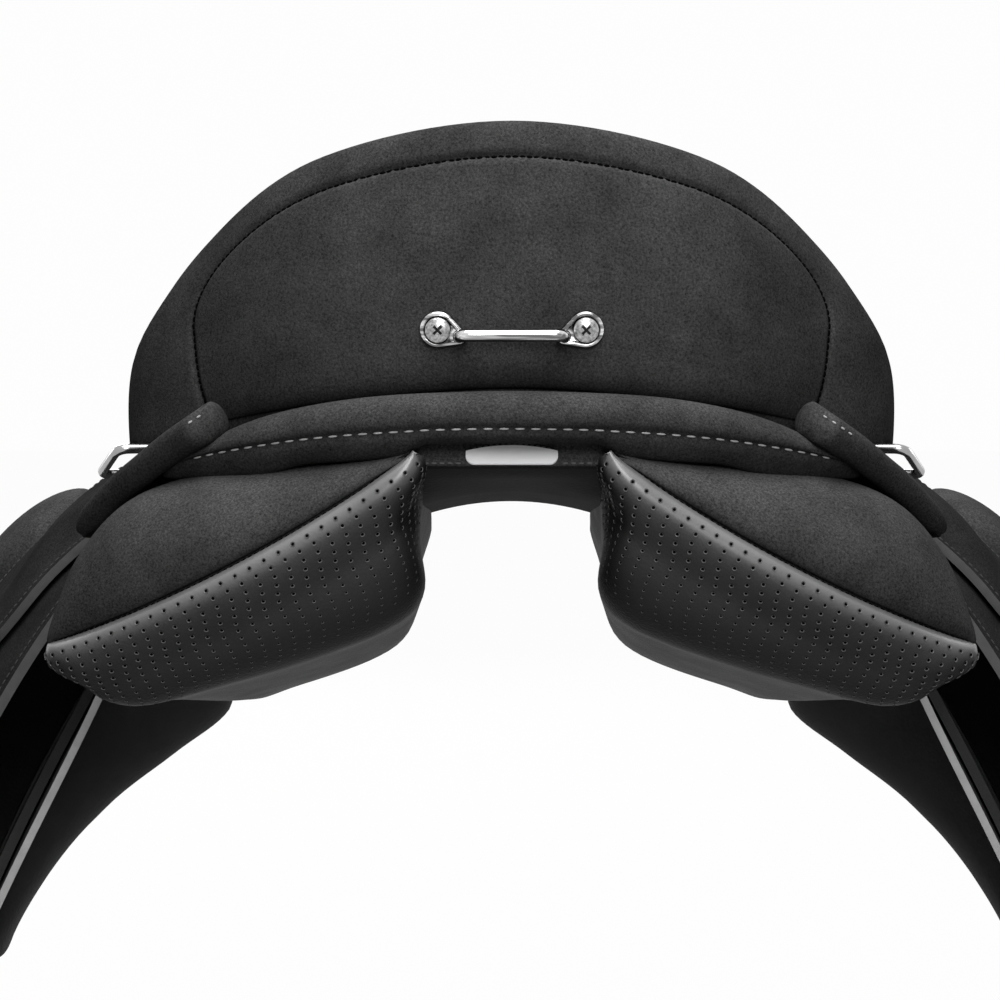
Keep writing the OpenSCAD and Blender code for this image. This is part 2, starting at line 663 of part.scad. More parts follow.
// Knee roll: a pad between the sweat flap and the flap
roll_rear = 116;
roll_front = 174;
roll_top = 0.14;
roll_low = 0.72;
roll_lead = 0.15;
roll_full = 0.9;
knee_rows = 8;
knee_cols = 6;
function knee_pt(y, u, w) =
    lerp(sweat_pt(y, u, sweat_t + lay_gap), flap_pt(y, u + roll_lead, -flap_t / 2), w);
function knee_swell(k, v) = 0.1 + (roll_full - 0.1) * pow(1 - pow(abs(2 * k - 1), 3), 0.5)
    * pow(1 - pow(abs(2 * v - 1), 6), 0.5);
function knee_grid(outer) = [for (i = [0:knee_rows]) [for (j = [0:knee_cols])
    let (v = i / knee_rows, k = j / knee_cols)
    knee_pt(lerp(roll_rear, roll_front, k), lerp(roll_top, roll_low, v), outer ? knee_swell(k, v) : 0)]];

module knee_roll() {
    color(leather) slab(knee_grid(true), knee_grid(false));
}

// Billets: straps from the rail down over the sweat flap
billet_low = 0.86;
billet_rows = 20;
billet_off = sweat_t + 2 * lay_gap;
billet_in = 13;
function billet_start(y, d) = hinge(y) + [0.5 * d - billet_in, 0, rail_low - fit_gap - billet_t + d];
function billet_pt(y, v, d) = v <= 0 ? billet_start(y, d)
    : sweat_pt(y, billet_low * (v - 1 / billet_rows), billet_off + d);
function billet_side(v, s) = s * (v > 0.95 ? 0.6 : 1) * billet_w / 2;
function billet_grid(y, d) = [for (i = [0:billet_rows]) let (v = i / billet_rows)
    [for (s = [-1, 0, 1]) billet_pt(y + billet_side(v, s), v, d)]];
hole_n = 9;
hole_first = 0.42;
hole_run = 330;

module billet(y) {
    color(leather) difference() {
        slab(billet_grid(y, billet_t), billet_grid(y, 0));
        for (k = [0:hole_n - 1]) {
            v = hole_first + k * billet_pitch / hole_run;
            p = billet_pt(y, v, 0);
            q = billet_pt(y, v, billet_t);
            rod(p - (q - p), q + (q - p), billet_hole_d / 2);
        }
    }
}
billet_rear_y = -42;
billet_front_y = 18;

// Tree rail: carries the flap's welt, the billets and the stirrup bar
rail_w = 13;
rail_face = -welt_r - fit_gap;
rail_rear = -46;
rail_front = 152;
rail_low = -20;
rail_flange = 34;
rail_chamfer = 8;
flange_t = 5;
rail_turn = -atan(hinge_slope);
// Top of the rail, just under the lowest part of the tree that lies over it
function under_tree() = min([for (r = tree_under) for (p = r)
    if (p.x > 0 && abs(p.y - 30) < 100 && p.x > hinge(p.y).x - rail_flange - 14) p.z]);
rail_top = under_tree() - fit_gap - hinge_z;

// Frame of the bending line: y along it, x outward
module at_hinge() {
    translate([hinge_x, hinge_y, hinge_z]) rotate([0, 0, rail_turn]) children();
}

module along_rail(y0, y1) {
    translate([0, y1, 0]) rotate([90, 0, 0]) linear_extrude(y1 - y0) children();
}

module tree_rail() {
    color(wooden) at_hinge() along_rail(rail_rear, rail_front) polygon([
        [rail_face, rail_low], [rail_face, 0], [rail_face - rail_chamfer, rail_top],
        [rail_face - rail_flange, rail_top], [rail_face - rail_flange, rail_top - flange_t],
        [rail_face - rail_w, rail_top - flange_t - 4], [rail_face - rail_w, rail_low]
    ]);
}

// Stirrup bar: a plate on the rail, an arm at the front and a bar open to the rear
plate_t = 3.3;
plate_rear = 44;
plate_front = plate_rear + stirrup_len + 14;
plate_low = -18;
plate_high = 0;
stirrup_r = stirrup_d / 2;
stirrup_x = rail_face + plate_t + stirrup_gap + stirrup_r;
stirrup_z = -4;
arm_proud = 0.6;
arm_len = stirrup_x + stirrup_r + arm_proud - rail_face - plate_t / 2;
rivet_ys = [plate_rear + 12, plate_front - 20];
rivet_d = 5;
rivet_z = (plate_low + plate_high) / 2;

module stirrup_bar() {
    color(steel) at_hinge() difference() {
        union() {
            translate([rail_face, plate_rear, plate_low])
                cube([plate_t, plate_front - plate_rear, plate_high - plate_low]);
            translate([rail_face + plate_t / 2, plate_front - stirrup_d, stirrup_z - stirrup_r - arm_proud])
                cube([arm_len, stirrup_d, stirrup_d + 2 * arm_proud]);
            translate([stirrup_x, plate_front - stirrup_d - stirrup_len, stirrup_z]) rotate([-90, 0, 0])
                cylinder(r = stirrup_r, h = stirrup_len + stirrup_d / 2);
        }
        for (y = rivet_ys) translate([rail_face - 1, y, rivet_z]) rotate([0, 90, 0])
            cylinder(d = rivet_d + 0.1, h = plate_t + 2);
    }
}

module bar_rivets() {
    head_h = 1.6;
    color(steel) at_hinge() for (y = rivet_ys) translate([rail_face + 0.02, y, rivet_z]) rotate([0, 90, 0]) {
        cylinder(d = rivet_d, h = plate_t + 0.05);
        translate([0, 0, plate_t + 0.03]) cylinder(d1 = rivet_d * 1.8, d2 = rivet_d * 1.1, h = head_h);
    }
}

module stirrup_bar_rivets() {
    bar_rivets();
    other_side() bar_rivets();
}

// Gullet plate: a steel arch over the panels' fronts
arch_y = 152;
arch_deep = 22;
arch_r = 72;
arch_z = 61.2 + front_up;
leg_angle = 47;
leg_len = 84;
arch_n = 10;
function arch_half(r) = concat(
    [for (k = [0:arch_n]) let (a = lerp(90, leg_angle, k / arch_n)) [r * cos(a), arch_z + r * sin(a)]],
    [[r * cos(leg_angle) + leg_len * sin(leg_angle), arch_z + r * sin(leg_angle) - leg_len * cos(leg_angle)]]);
function flipped(p) = [for (k = [len(p) - 1:-1:1]) [-p[k][0], p[k][1]]];
leg_mid = 0.62;
leg_screw_d = 5;

module at_leg(side) {
    mirror([side < 0 ? 1 : 0, 0, 0])
        translate([arch_r * cos(leg_angle) + leg_mid * leg_len * sin(leg_angle), arch_y + arch_deep / 2,
            arch_z + arch_r * sin(leg_angle) - leg_mid * leg_len * cos(leg_angle)])
        rotate([0, 90 - leg_angle, 0]) children();
}

module gullet_plate() {
    outer = arch_half(arch_r + gullet_t);
    inner = arch_half(arch_r);
    color(steel) difference() {
        translate([0, arch_y + arch_deep, 0]) rotate([90, 0, 0]) linear_extrude(arch_deep)
            polygon(concat(flipped(outer), outer, [for (k = [len(inner) - 1:-1:0]) inner[k]],
                [for (k = [1:len(inner) - 1]) [-inner[k][0], inner[k][1]]]));
        for (side = [-1, 1]) at_leg(side) translate([0, 0, -2])
            cylinder(d = leg_screw_d + 0.1, h = gullet_t + 4);
    }
}

module gullet_plate_screws() {
    head_h = 2.5;
    color(steel) for (side = [-1, 1]) at_leg(side) {
        cylinder(d = leg_screw_d, h = gullet_t + 0.1);
        translate([0, 0, gullet_t + 0.05]) difference() {
            cylinder(d = leg_screw_d * 1.9, h = head_h);
            translate([0, 0, head_h - 1.2]) cylinder(d = leg_screw_d * 0.8, h = 2, $fn = 6);
        }
    }
}

// Pommel facing: leather over the arch, from the seat's front edge down to the channel
facing_t = 3;
facing_cols = 16;
facing_rows = 4;
facing_span = 1.25;
facing_y = arch_y + arch_deep + 3;
function arch_at(x) = let (a = arch_r + 2, k = a * cos(leg_angle))
    arch_z + (abs(x) < k ? sqrt(a * a - x * x) : a * sin(leg_angle) - (abs(x) - k) / tan(leg_angle));
function facing_grid(d) = [for (i = [0:facing_rows]) [for (j = [0:facing_cols])
    let (s = 1 - 2 * j / facing_cols, e = half_curve(edge_keys, key_span - facing_span * abs(s)),
        p = [sign(s) * e.x * 0.96, e.y - 3.2, e.z - 0.9], v = i / facing_rows)
    lerp(p, [p.x, facing_y, arch_at(p.x)], v) + [0, d + 5 * v * (1 - v), 0]]];

module pommel_facing() {
    color(suede) slab(facing_grid(facing_t), facing_grid(0));
}

// Rear skirt: a leather flank under the seat's back corner with a rolled rear edge
roll_keys = [[124, -227, 132], [147, -211, 119], [172, -188, 99.5], [189, -163, 79]];
fore_keys = [[126, -128, 103], [146, -122, 94.5], [164, -117, 84], [176, -112, 74]];
roll_ws = [0, 0.03, 0.08, 0.14, 0.21, 0.3, 0.5, 0.75, 1];
roll_ts = [3, 9.5, 12, 12, 9, 5, 4, 4, 4];
roll_cols = 10;
roll_lift = unit([0.5, 0, 0.85]);
function rear_skirt_grid(side) = [for (i = [0:len(roll_ws) - 1]) [for (j = [0:roll_cols])
    let (v = j / roll_cols) lerp(bezier(roll_keys, v), bezier(fore_keys, v), roll_ws[i])
        + roll_lift * side * roll_ts[i] / 2]];

module rear_skirt() {
    color(leather) slab(rear_skirt_grid(-1), rear_skirt_grid(1));
}

// Dee rings: a rectangle of round wire whose inner bar turns in a tab
dee_r = dee_wire / 2;
dee_corner = 5;
dee_half = dee_w / 2 + dee_r;
dee_long = dee_depth + dee_wire;
module dee_ring() {
    straight_x = 2 * (dee_half - dee_corner);
    straight_y = dee_long - 2 * dee_corner;
    color(steel) {
        for (y = [0, dee_long]) translate([-straight_x / 2, y, 0]) rotate([0, 90, 0])
            cylinder(r = dee_r, h = straight_x);
        for (x = [-dee_half, dee_half]) translate([x, dee_corner, 0]) rotate([-90, 0, 0])
            cylinder(r = dee_r, h = straight_y);
        for (c = [[1, 1, 0], [-1, 1, 90], [-1, -1, 180], [1, -1, 270]])
            translate([c[0] * straight_x / 2, dee_long / 2 + c[1] * straight_y / 2, 0]) rotate([0, 0, c[2]])
                rotate_extrude(angle = 90) translate([dee_corner, 0]) circle(r = dee_r);
    }
}

tab_wall = 1.8;
tab_w = 14;
tab_t = 2.4;
module dee_tab(tail, tilt) {
    color(leather) rotate([90, 0, 90]) translate([0, 0, -tab_w / 2]) linear_extrude(tab_w) difference() {
        union() {
            circle(r = dee_r + tab_wall);
            rotate(tilt) translate([-tail, -tab_t / 2]) square([tail, tab_t]);
        }
        circle(r = dee_r + dee_play);
    }
}

rear_dee_u = unit([0.33, 0.84, -0.43]);
rear_dee_w = unit([0.93, -0.3654, 0]);
rear_dee_at = [150.5, -161, 110.5];
front_dee_u = unit([-0.48, 0.74, 0.47]);
front_dee_w = unit([0.74, 0.48, 0]);
front_dee_at = [88, seat_front - 44, 124 + front_up];
rear_tail = 22;
rear_tilt = 25;
front_tail = 20;
front_tilt = 28;

module at_rear_dee() {
    place(rear_dee_at, rear_dee_u, rear_dee_w) children();
}

module at_front_dee() {
    place(front_dee_at, front_dee_u, front_dee_w) children();
}

tree_shell();
other_side() tree_rail();  // tree_rail_left
tree_rail();  // tree_rail_right
gullet_plate();
gullet_plate_screws();
other_side() stirrup_bar();  // stirrup_bar_left
stirrup_bar();  // stirrup_bar_right
stirrup_bar_rivets();
seat_foam();
seat_cover();
cantle_back();
cantle_bar();
cantle_bar_screws();
other_side() rear_skirt();  // rear_skirt_left
rear_skirt();  // rear_skirt_right
other_side() skirt();  // skirt_left
skirt();  // skirt_right
other_side() flap();  // flap_left
flap();  // flap_right
other_side() knee_block();  // knee_block_left
knee_block();  // knee_block_right
other_side() sweat_flap();  // sweat_flap_left
sweat_flap();  // sweat_flap_right
other_side() billet(billet_front_y);  // billet_front_left
billet(billet_front_y);  // billet_front_right
other_side() billet(billet_rear_y);  // billet_rear_left
billet(billet_rear_y);  // billet_rear_right
other_side() panel_core();  // panel_core_left
panel_core();  // panel_core_right
other_side() panel_facing();  // panel_facing_left
panel_facing();  // panel_facing_right
other_side() panel_gusset();  // panel_gusset_left
panel_gusset();  // panel_gusset_right
other_side() panel_fore();  // panel_fore_left
panel_fore();  // panel_fore_right
other_side() knee_roll();  // knee_roll_left
knee_roll();  // knee_roll_right
panel_collar();
gullet_strip();
badge_plate();
gullet_lining();
pommel_facing();
other_side() at_rear_dee() dee_ring();  // dee_ring_rear_left
at_rear_dee() dee_ring();  // dee_ring_rear_right
other_side() at_rear_dee() dee_tab(rear_tail, rear_tilt);  // dee_tab_rear_left
at_rear_dee() dee_tab(rear_tail, rear_tilt);  // dee_tab_rear_right
other_side() at_front_dee() dee_ring();  // dee_ring_front_left
at_front_dee() dee_ring();  // dee_ring_front_right
other_side() at_front_dee() dee_tab(front_tail, front_tilt);  // dee_tab_front_left
at_front_dee() dee_tab(front_tail, front_tilt);  // dee_tab_front_right
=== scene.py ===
import math

import bmesh
import bpy
import numpy as np
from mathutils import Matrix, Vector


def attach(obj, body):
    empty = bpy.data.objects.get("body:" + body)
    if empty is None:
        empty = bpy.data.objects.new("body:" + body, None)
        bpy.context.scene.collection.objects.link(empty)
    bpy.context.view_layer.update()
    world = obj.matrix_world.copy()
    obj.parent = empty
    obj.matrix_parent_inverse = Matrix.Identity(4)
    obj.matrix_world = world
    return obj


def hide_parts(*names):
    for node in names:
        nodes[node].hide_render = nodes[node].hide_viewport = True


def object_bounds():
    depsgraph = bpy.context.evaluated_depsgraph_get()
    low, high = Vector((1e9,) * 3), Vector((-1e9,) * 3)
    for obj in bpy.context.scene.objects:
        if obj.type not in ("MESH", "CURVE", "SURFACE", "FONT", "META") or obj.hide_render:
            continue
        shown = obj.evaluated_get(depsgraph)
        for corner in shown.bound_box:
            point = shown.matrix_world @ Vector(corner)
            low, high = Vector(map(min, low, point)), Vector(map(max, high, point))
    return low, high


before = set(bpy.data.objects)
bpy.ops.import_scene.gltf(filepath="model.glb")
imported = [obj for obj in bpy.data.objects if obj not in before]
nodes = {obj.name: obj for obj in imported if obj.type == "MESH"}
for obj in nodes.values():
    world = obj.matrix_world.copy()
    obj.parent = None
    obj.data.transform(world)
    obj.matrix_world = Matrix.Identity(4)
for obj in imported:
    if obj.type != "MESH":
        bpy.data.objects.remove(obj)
cad_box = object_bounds()
MM = 0.001
SIDES = (("right", 1), ("left", -1))

# Sizes in mm, as in the part's source
CANTLE_H = 257.5
CANTLE_HW = 164.5
CANTLE_BASE = 109
SEAT_BACK = 224
SEAT_FRONT = 222
POMMEL_H = 212
SEAT_LOW = 143
COVER_T = 2.5
BACK_CROWN = 7
GULLET_HW = 40
PANEL_HW = 201
FLAP_LOW = -235
FLAP_REAR = -95
FLAP_RUN = 245
FLAP_T = 4.5
SKIRT_T = 4
SWEAT_T = 3.5
BLOCK_H = 20
LAY_GAP = 0.6
WELT_R = 3
PANEL_BACK = SEAT_BACK + 26

# Curves and small helpers
BLUNT = 0.02


def lerp(a, b, t):
    return a + (b - a) * t


def ease(w):
    c = np.clip(w, 0, 1)
    return c * c * (3 - 2 * c)


def unit(v):
    return v / np.maximum(np.linalg.norm(v, axis=-1, keepdims=True), 1e-9)


def xyz(x, y, z):
    return np.stack(np.broadcast_arrays(x, y, z), axis=-1)


def matched(*values):
    """Arrays of one shape from numbers and arrays."""
    return np.broadcast_arrays(*[np.asarray(value, float) for value in values])


def on_side(points, sign):
    """Points or directions of the right side, mirrored to the left where the sign is -1."""
    return points * np.array([sign, 1, 1])


def full_turn(n):
    return np.linspace(0, 2 * math.pi, n, endpoint=False)


def circled(turn, first, second):
    """Offsets at angles that turn from a first direction towards a second."""
    return np.cos(turn)[..., None] * first + np.sin(turn)[..., None] * second


def slow_ends(share):
    """Shares from 0 to 1, drawn closer together at both ends."""
    return (1 - np.cos(math.pi * share)) / 2


def quarter_round(share, least=0.0):
    """Height of a rounded edge at a share of its width."""
    return np.sqrt(np.clip(1 - (1 - np.minimum(share, 1)) ** 2, least, 1))


def run_of(grid, axis=0):
    """Distance in mm along a line, or along a grid's columns or rows, from the first point."""
    step = np.linalg.norm(np.diff(grid, axis=axis), axis=-1)
    pad = [(0, 0)] * step.ndim
    pad[axis] = (1, 0)
    return np.cumsum(np.pad(step, pad), axis=axis)


def sampled(at, run, line):
    """Points of a line at distances along it."""
    return np.stack([np.interp(at, run, line[:, k]) for k in range(3)], axis=-1)


def catmull(a, b, c, d, f):
    square = (2 * a - 5 * b + 4 * c - d) * f * f
    cube = (3 * b - a - 3 * c + d) * f * f * f
    return 0.5 * (2 * b + (c - a) * f + square + cube)


def half_curve(keys, t):
    """Curve through the keys of the right half, mirrored at both ends."""
    n = len(keys) - 1
    row = np.vstack([on_side(keys[1], -1), keys, on_side(keys[n - 1], -1)])
    i = np.minimum(n - 1, np.floor(t).astype(int))
    return catmull(row[i], row[i + 1], row[i + 2], row[i + 3], (t - i)[..., None])


def keyed(stations, keys, y):
    """Value at y of keys given at the stations."""
    keys = np.array(keys, float)
    stations = np.array(stations, float)
    y = np.asarray(y, float)
    last = len(stations) - 1
    i = np.clip(np.searchsorted(stations, y, side="right") - 1, 0, last - 1)
    f = np.clip((y - stations[i]) / (stations[i + 1] - stations[i]), 0, 1)
    if keys.ndim > 1:
        f = f[..., None]
    return catmull(keys[np.maximum(0, i - 1)], keys[i], keys[i + 1], keys[np.minimum(last, i + 2)], f)


def bezier(p, u):
    u = np.asarray(u, float)[..., None]
    return (1 - u) ** 3 * p[0] + 3 * u * (1 - u) ** 2 * p[1] + 3 * u * u * (1 - u) * p[2] + u ** 3 * p[3]


def wobble(p, size, seed):
    """Smooth unevenness between -1 and 1 at points in mm, with features of about that size."""
    total = 0
    for k in range(3):
        turn = np.array([1.0, 1.7, 2.3]) * (k + 1) + seed * np.array([0.37, 1.31, 2.11])
        way = unit(np.sin(turn * 12.9))
        total = total + np.sin(p @ way * (2 * math.pi / size) * (0.7 + 0.3 * k) + seed * (k + 1.3))
    return total / 3


# Seat surface: crest and lower edge round the seat
RIM_POWER = 0.905
RIM_FORWARD = 86
LEAST_R = 0.07
STEP_R = 0.02
SPINE_SHARE = 0.52
LOW_Y = -25
RISE_BACK = 0.0021
RISE_FRONT = 0.0009
SEAT_DOME = 20
SIDE_OUT = 1.3
SIDE_DROP = 4
HINGE_HW = 138
HINGE_TAPER = 0.24
HINGE_Y = -40
HINGE_Z = 100.0
WAIST_IN = 2
WAIST_UP = 14


def rim_key(degrees):
    a = math.radians(degrees)
    x = CANTLE_HW * math.sin(a) ** RIM_POWER
    z = CANTLE_BASE + (CANTLE_H - CANTLE_BASE) * math.cos(a) ** RIM_POWER
    return [x, -SEAT_BACK + RIM_FORWARD * math.sin(a) ** 2, z]


def hinge(y):
    """Point of the line about which the right flap lifts."""
    return xyz(HINGE_HW - HINGE_TAPER * (np.asarray(y, float) - HINGE_Y), y, HINGE_Z)


def waist(y, up):
    """Point of the seat's lower edge above the flap."""
    return (hinge(y) + np.array([-WAIST_IN, 0, WAIST_UP + up])).tolist()


CREST = np.array([
    [0, -SEAT_BACK, CANTLE_H], rim_key(28), rim_key(52), rim_key(70),
    [124, -50, 150], [98, 50, 147], [80, 135, 161],
    [55, SEAT_FRONT - 27, POMMEL_H - 16], [0, SEAT_FRONT, POMMEL_H],
], float)
EDGE = np.array([
    [0, -SEAT_BACK - 7, 141], [75, -SEAT_BACK + 2, 135], [128, -SEAT_BACK + 33, 126],
    [CANTLE_HW + 3.5, -SEAT_BACK + 82, 115.5],
    waist(-45, 0), waist(55, 0), waist(140, 3),
    [62, SEAT_FRONT - 15, POMMEL_H - 54], [0, SEAT_FRONT + 4, POMMEL_H - 36],
], float)


def seat_point(a, r):
    """Point of the seat at a degrees from the cantle; r is 1 at the crest and 2 at the lower edge."""
    a, r = matched(a, r)
    b = np.mod(a, 360)
    left = b > 180
    t = np.where(left, 360 - b, b) / 180 * (len(CREST) - 1)
    c = half_curve(CREST, t)
    e = half_curve(EDGE, t)
    y = c[..., 1] * SPINE_SHARE
    floor = SEAT_LOW + np.where(y < LOW_Y, RISE_BACK, RISE_FRONT) * (y - LOW_Y) ** 2
    w = np.clip(r, 0, 1)
    dome = SEAT_DOME * w * (1 - w) * (c[..., 0] / CANTLE_HW) ** 2
    top = xyz(c[..., 0] * w, lerp(y, c[..., 1], w), lerp(floor, c[..., 2], ease(w ** 1.3)) + dome)
    v = np.clip(r - 1, 0, 1)[..., None]
    k = lerp(c, e, SIDE_OUT)
    k[..., 2] = c[..., 2] - SIDE_DROP
    side = (1 - v) ** 2 * c + 2 * v * (1 - v) * k + v * v * e
    p = np.where((r <= 1)[..., None], top, side)
    p[..., 0] *= np.where(left, -1, 1)
    return p


def seat_normal(a, r):
    """Direction off the seat; close to its middle, that of a place a little further out."""
    r = np.maximum(LEAST_R, r)
    down = seat_point(a, np.minimum(2, r + STEP_R)) - seat_point(a, r - STEP_R)
    return unit(np.cross(down, seat_point(a + 1, r) - seat_point(a - 1, r)))


# The cantle's pad: s runs across it from -1 to 1 and w down it from 0 to 1
PAD_ANGLE = 49.3
PAD_CORNER_R = 1.6
PAD_FOOT_R = 1.985
PAD_POWER = 6.5


def pad_place(s, w):
    """Angle and distance on the seat of a place on the pad."""
    rise = (0.26 + 0.1 * s * s) * np.sqrt(np.clip(1 - np.abs(s) ** PAD_POWER, 0, 1))
    return s * (PAD_ANGLE - 1.2 * w - 3 * w ** 4), lerp(PAD_CORNER_R - rise, PAD_FOOT_R, w)


def pad_seam(n):
    """Points and outward directions along the pad's stitched seam, from its left foot round to the right."""
    up = np.linspace(1, 0, n)
    over = np.sin(np.linspace(-math.pi / 2, math.pi / 2, 3 * n))
    s = np.concatenate([np.full(n, -1.0), over[1:-1], np.full(n, 1.0)])
    w = np.concatenate([up, np.zeros(3 * n - 2), up[::-1]])
    a, r = pad_place(s, w)
    return seat_point(a, r), seat_normal(a, r)


# Meshes from grids of points
def quads(rows, cols, first=0, wrap=False):
    """Faces of a grid of points that are numbered row by row."""
    i, j = np.meshgrid(np.arange(rows - 1), np.arange(cols if wrap else cols - 1), indexing="ij")
    a = first + i * cols + j
    b = first + i * cols + (j + 1) % cols
    return np.stack([a, b, b + cols, a + cols], axis=-1).reshape(-1, 4)


def slab(outer, inner):
    """Solid between two grids; its edge faces are in slot 1."""
    rows, cols = outer.shape[:2]
    n = rows * cols
    grid = np.arange(n).reshape(rows, cols)
    ring = np.concatenate([grid[0, :-1], grid[:-1, -1], grid[-1, :0:-1], grid[:0:-1, 0]])
    after = np.roll(ring, -1)
    edge = np.stack([ring, after, after + n, ring + n], axis=-1)
    points = np.concatenate([outer.reshape(-1, 3), inner.reshape(-1, 3)])
    faces = np.concatenate([quads(rows, cols), quads(rows, cols, n), edge])
    slots = np.concatenate([np.zeros(2 * (rows - 1) * (cols - 1), int), np.ones(len(edge), int)])
    return points, faces.tolist(), slots


def tube(loops):
    """Solid from closed loops of points with a fan at each end."""
    rows, cols = loops.shape[:2]
    n = rows * cols
    points = np.concatenate([loops.reshape(-1, 3), loops[:1].mean(1), loops[-1:].mean(1)])
    faces = quads(rows, cols, 0, True).tolist()
    for j in range(cols):
        faces.append([n, (j + 1) % cols, j])
        faces.append([n + 1, n - cols + j, n - cols + (j + 1) % cols])
    return points, faces, np.zeros(len(faces), int)


def ring_mesh(loops, closed=False):
    """Skin through loops of points, joined back to the first loop where it is closed."""
    rows, cols = loops.shape[:2]
    faces = quads(rows + closed, cols, 0, True) % (rows * cols)
    return loops.reshape(-1, 3), faces.tolist(), np.zeros(len(faces), int)


def rod(a, b, r, rows=24, cols=14):
    """Round cord from a to b with rounded ends."""
    way = unit(b - a)
    side = unit(np.cross(way, [0, 0, 1.0]))
    run = np.linalg.norm(b - a)
    s = run * slow_ends(np.linspace(0, 1, rows))
    round_r = r * quarter_round(np.minimum(s, run - s) / r, BLUNT)
    ring = circled(full_turn(cols), side, np.cross(side, way))
    return tube(a + s[:, None, None] * way + round_r[:, None, None] * ring)


def joined(*shapes):
    """Several solids as one."""
    points, faces, slots, first = [], [], [], 0
    for p, f, s in shapes:
        points.append(p)
        faces += [[k + first for k in face] for face in f]
        slots.append(s)
        first += len(p)
    return np.concatenate(points), faces, np.concatenate(slots)


def flipped(shape):
    """The same solid on the saddle's other side."""
    points, faces, slots = shape
    return on_side(points, -1), [face[::-1] for face in faces], slots


def for_side(shape, sign):
    """The right side's solid, or its mirror image where the sign is -1."""
    return shape if sign > 0 else flipped(shape)


def mesh_of(name, points, faces):
    """Mesh from points in mm."""
    mesh = bpy.data.meshes.new(name)
    mesh.from_pydata((points * MM).tolist(), [], faces)
    return mesh


def placed(name, data):
    """New object in the scene."""
    obj = bpy.data.objects.new(name, data)
    bpy.context.scene.collection.objects.link(obj)
    return obj


def mark(mesh, label, values):
    """Writes a number to each point of a mesh."""
    mesh.attributes.new(label, "FLOAT", "POINT").data.foreach_set("value", values)


def baked(obj):
    """Puts the evaluated mesh in the object's place and removes its modifiers."""
    view = bpy.context.evaluated_depsgraph_get()
    mesh = bpy.data.meshes.new_from_object(obj.evaluated_get(view))
    old = obj.data
    obj.modifiers.clear()
    obj.data = mesh
    bpy.data.meshes.remove(old)
    mesh.name = obj.name
    return obj


# Finished pieces: painted light and shade by how each surface faces, and what is merged
LIGHT_BASE = 0.95
LIGHT_FROM_ABOVE = 0.55
SHADE_AT_SIDES = 0.6
SAME_PLACE = 1e-6
NO_LENGTH = 1e-7


def paint_light_by_facing(mesh):
    """Marks painted light and shade: lighter where the surface faces up and darker where it faces sideways.
    """
    normal = np.zeros(len(mesh.vertices) * 3)
    mesh.vertex_normals.foreach_get("vector", normal)
    normal = normal.reshape(-1, 3)
    mark(mesh, "painted_light", LIGHT_BASE + LIGHT_FROM_ABOVE * normal[:, 2] - SHADE_AT_SIDES * normal[:, 0] ** 2)


def piece(name, shape, body, paints, stands_for, bevel=0, polish=None):
    """Adds a finished piece that rides on a body and stands for CAD nodes."""
    points, faces, slots = shape
    mesh = mesh_of(name, points, faces)
    mesh.polygons.foreach_set("material_index", np.minimum(slots, len(paints) - 1))
    for paint in paints:
        mesh.materials.append(paint)
    if polish is not None:
        mark(mesh, "polish", polish)
    work = bmesh.new()
    work.from_mesh(mesh)
    bmesh.ops.remove_doubles(work, verts=work.verts, dist=SAME_PLACE)
    bmesh.ops.dissolve_degenerate(work, edges=work.edges, dist=NO_LENGTH)
    bmesh.ops.recalc_face_normals(work, faces=work.faces)
    work.to_mesh(mesh)
    work.free()
    mesh.shade_smooth()
    obj = placed(name, mesh)
    if bevel:
        rounding = obj.modifiers.new("rounded_edge", "BEVEL")
        rounding.width = bevel * MM
        rounding.segments = 3
        rounding.limit_method = "ANGLE"
        rounding.angle_limit = math.radians(50)
        baked(obj)
    # Painted light and shade, marked on the points by how they face
    paint_light_by_facing(obj.data)
    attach(obj, body)
    if stands_for:
        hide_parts(*stands_for)
    return obj


# Node trees
def wired(tree, kind, settings=None, inputs=None):
    """Adds a node; its inputs are sockets to link, nodes whose first output is linked, or values."""
    made = tree.nodes.new(kind)
    for key, value in (settings or {}).items():
        setattr(made, key, value)
    for key, value in (inputs or {}).items():
        if isinstance(value, bpy.types.Node):
            value = value.outputs[0]
        if isinstance(value, bpy.types.NodeSocket):
            tree.links.new(value, made.inputs[key])
        else:
            made.inputs[key].default_value = value
    return made


class Value:
    """A socket of a shader tree that sums and products can be made with."""

    def __init__(self, tree, socket):
        self.tree = tree
        self.socket = socket

    def node(self, kind, settings=None, inputs=None, out=0):
        """Makes a node in the same tree and returns one of its outputs."""
        ends = {}
        for key, value in (inputs or {}).items():
            ends[key] = value.socket if isinstance(value, Value) else value
        return Value(self.tree, wired(self.tree, kind, settings, ends).outputs[out])

    def math(self, operation, a, b=0.0):
        return self.node("ShaderNodeMath", {"operation": operation}, {0: a, 1: b})

    def __add__(self, other):
        return self.math("ADD", self, other)

    def __radd__(self, other):
        return self.math("ADD", other, self)

    def __sub__(self, other):
        return self.math("SUBTRACT", self, other)

    def __rsub__(self, other):
        return self.math("SUBTRACT", other, self)

    def __mul__(self, other):
        return self.math("MULTIPLY", self, other)

    def __rmul__(self, other):
        return self.math("MULTIPLY", other, self)

    def grey(self):
        """The value as a neutral colour."""
        return self.node("ShaderNodeCombineColor", None, {0: self, 1: self, 2: self})

    def marked(self, label):
        """Value of the mesh's attribute with that name."""
        return self.node("ShaderNodeAttribute", {"attribute_name": label}, None, 2)

    def noise(self, where, scale, detail=3.0, roughness=0.55):
        inputs = {"Vector": where, "Scale": scale, "Detail": detail, "Roughness": roughness}
        return self.node("ShaderNodeTexNoise", None, inputs)

    def cells(self, where, scale):
        return self.node("ShaderNodeTexVoronoi", None, {"Vector": where, "Scale": scale})


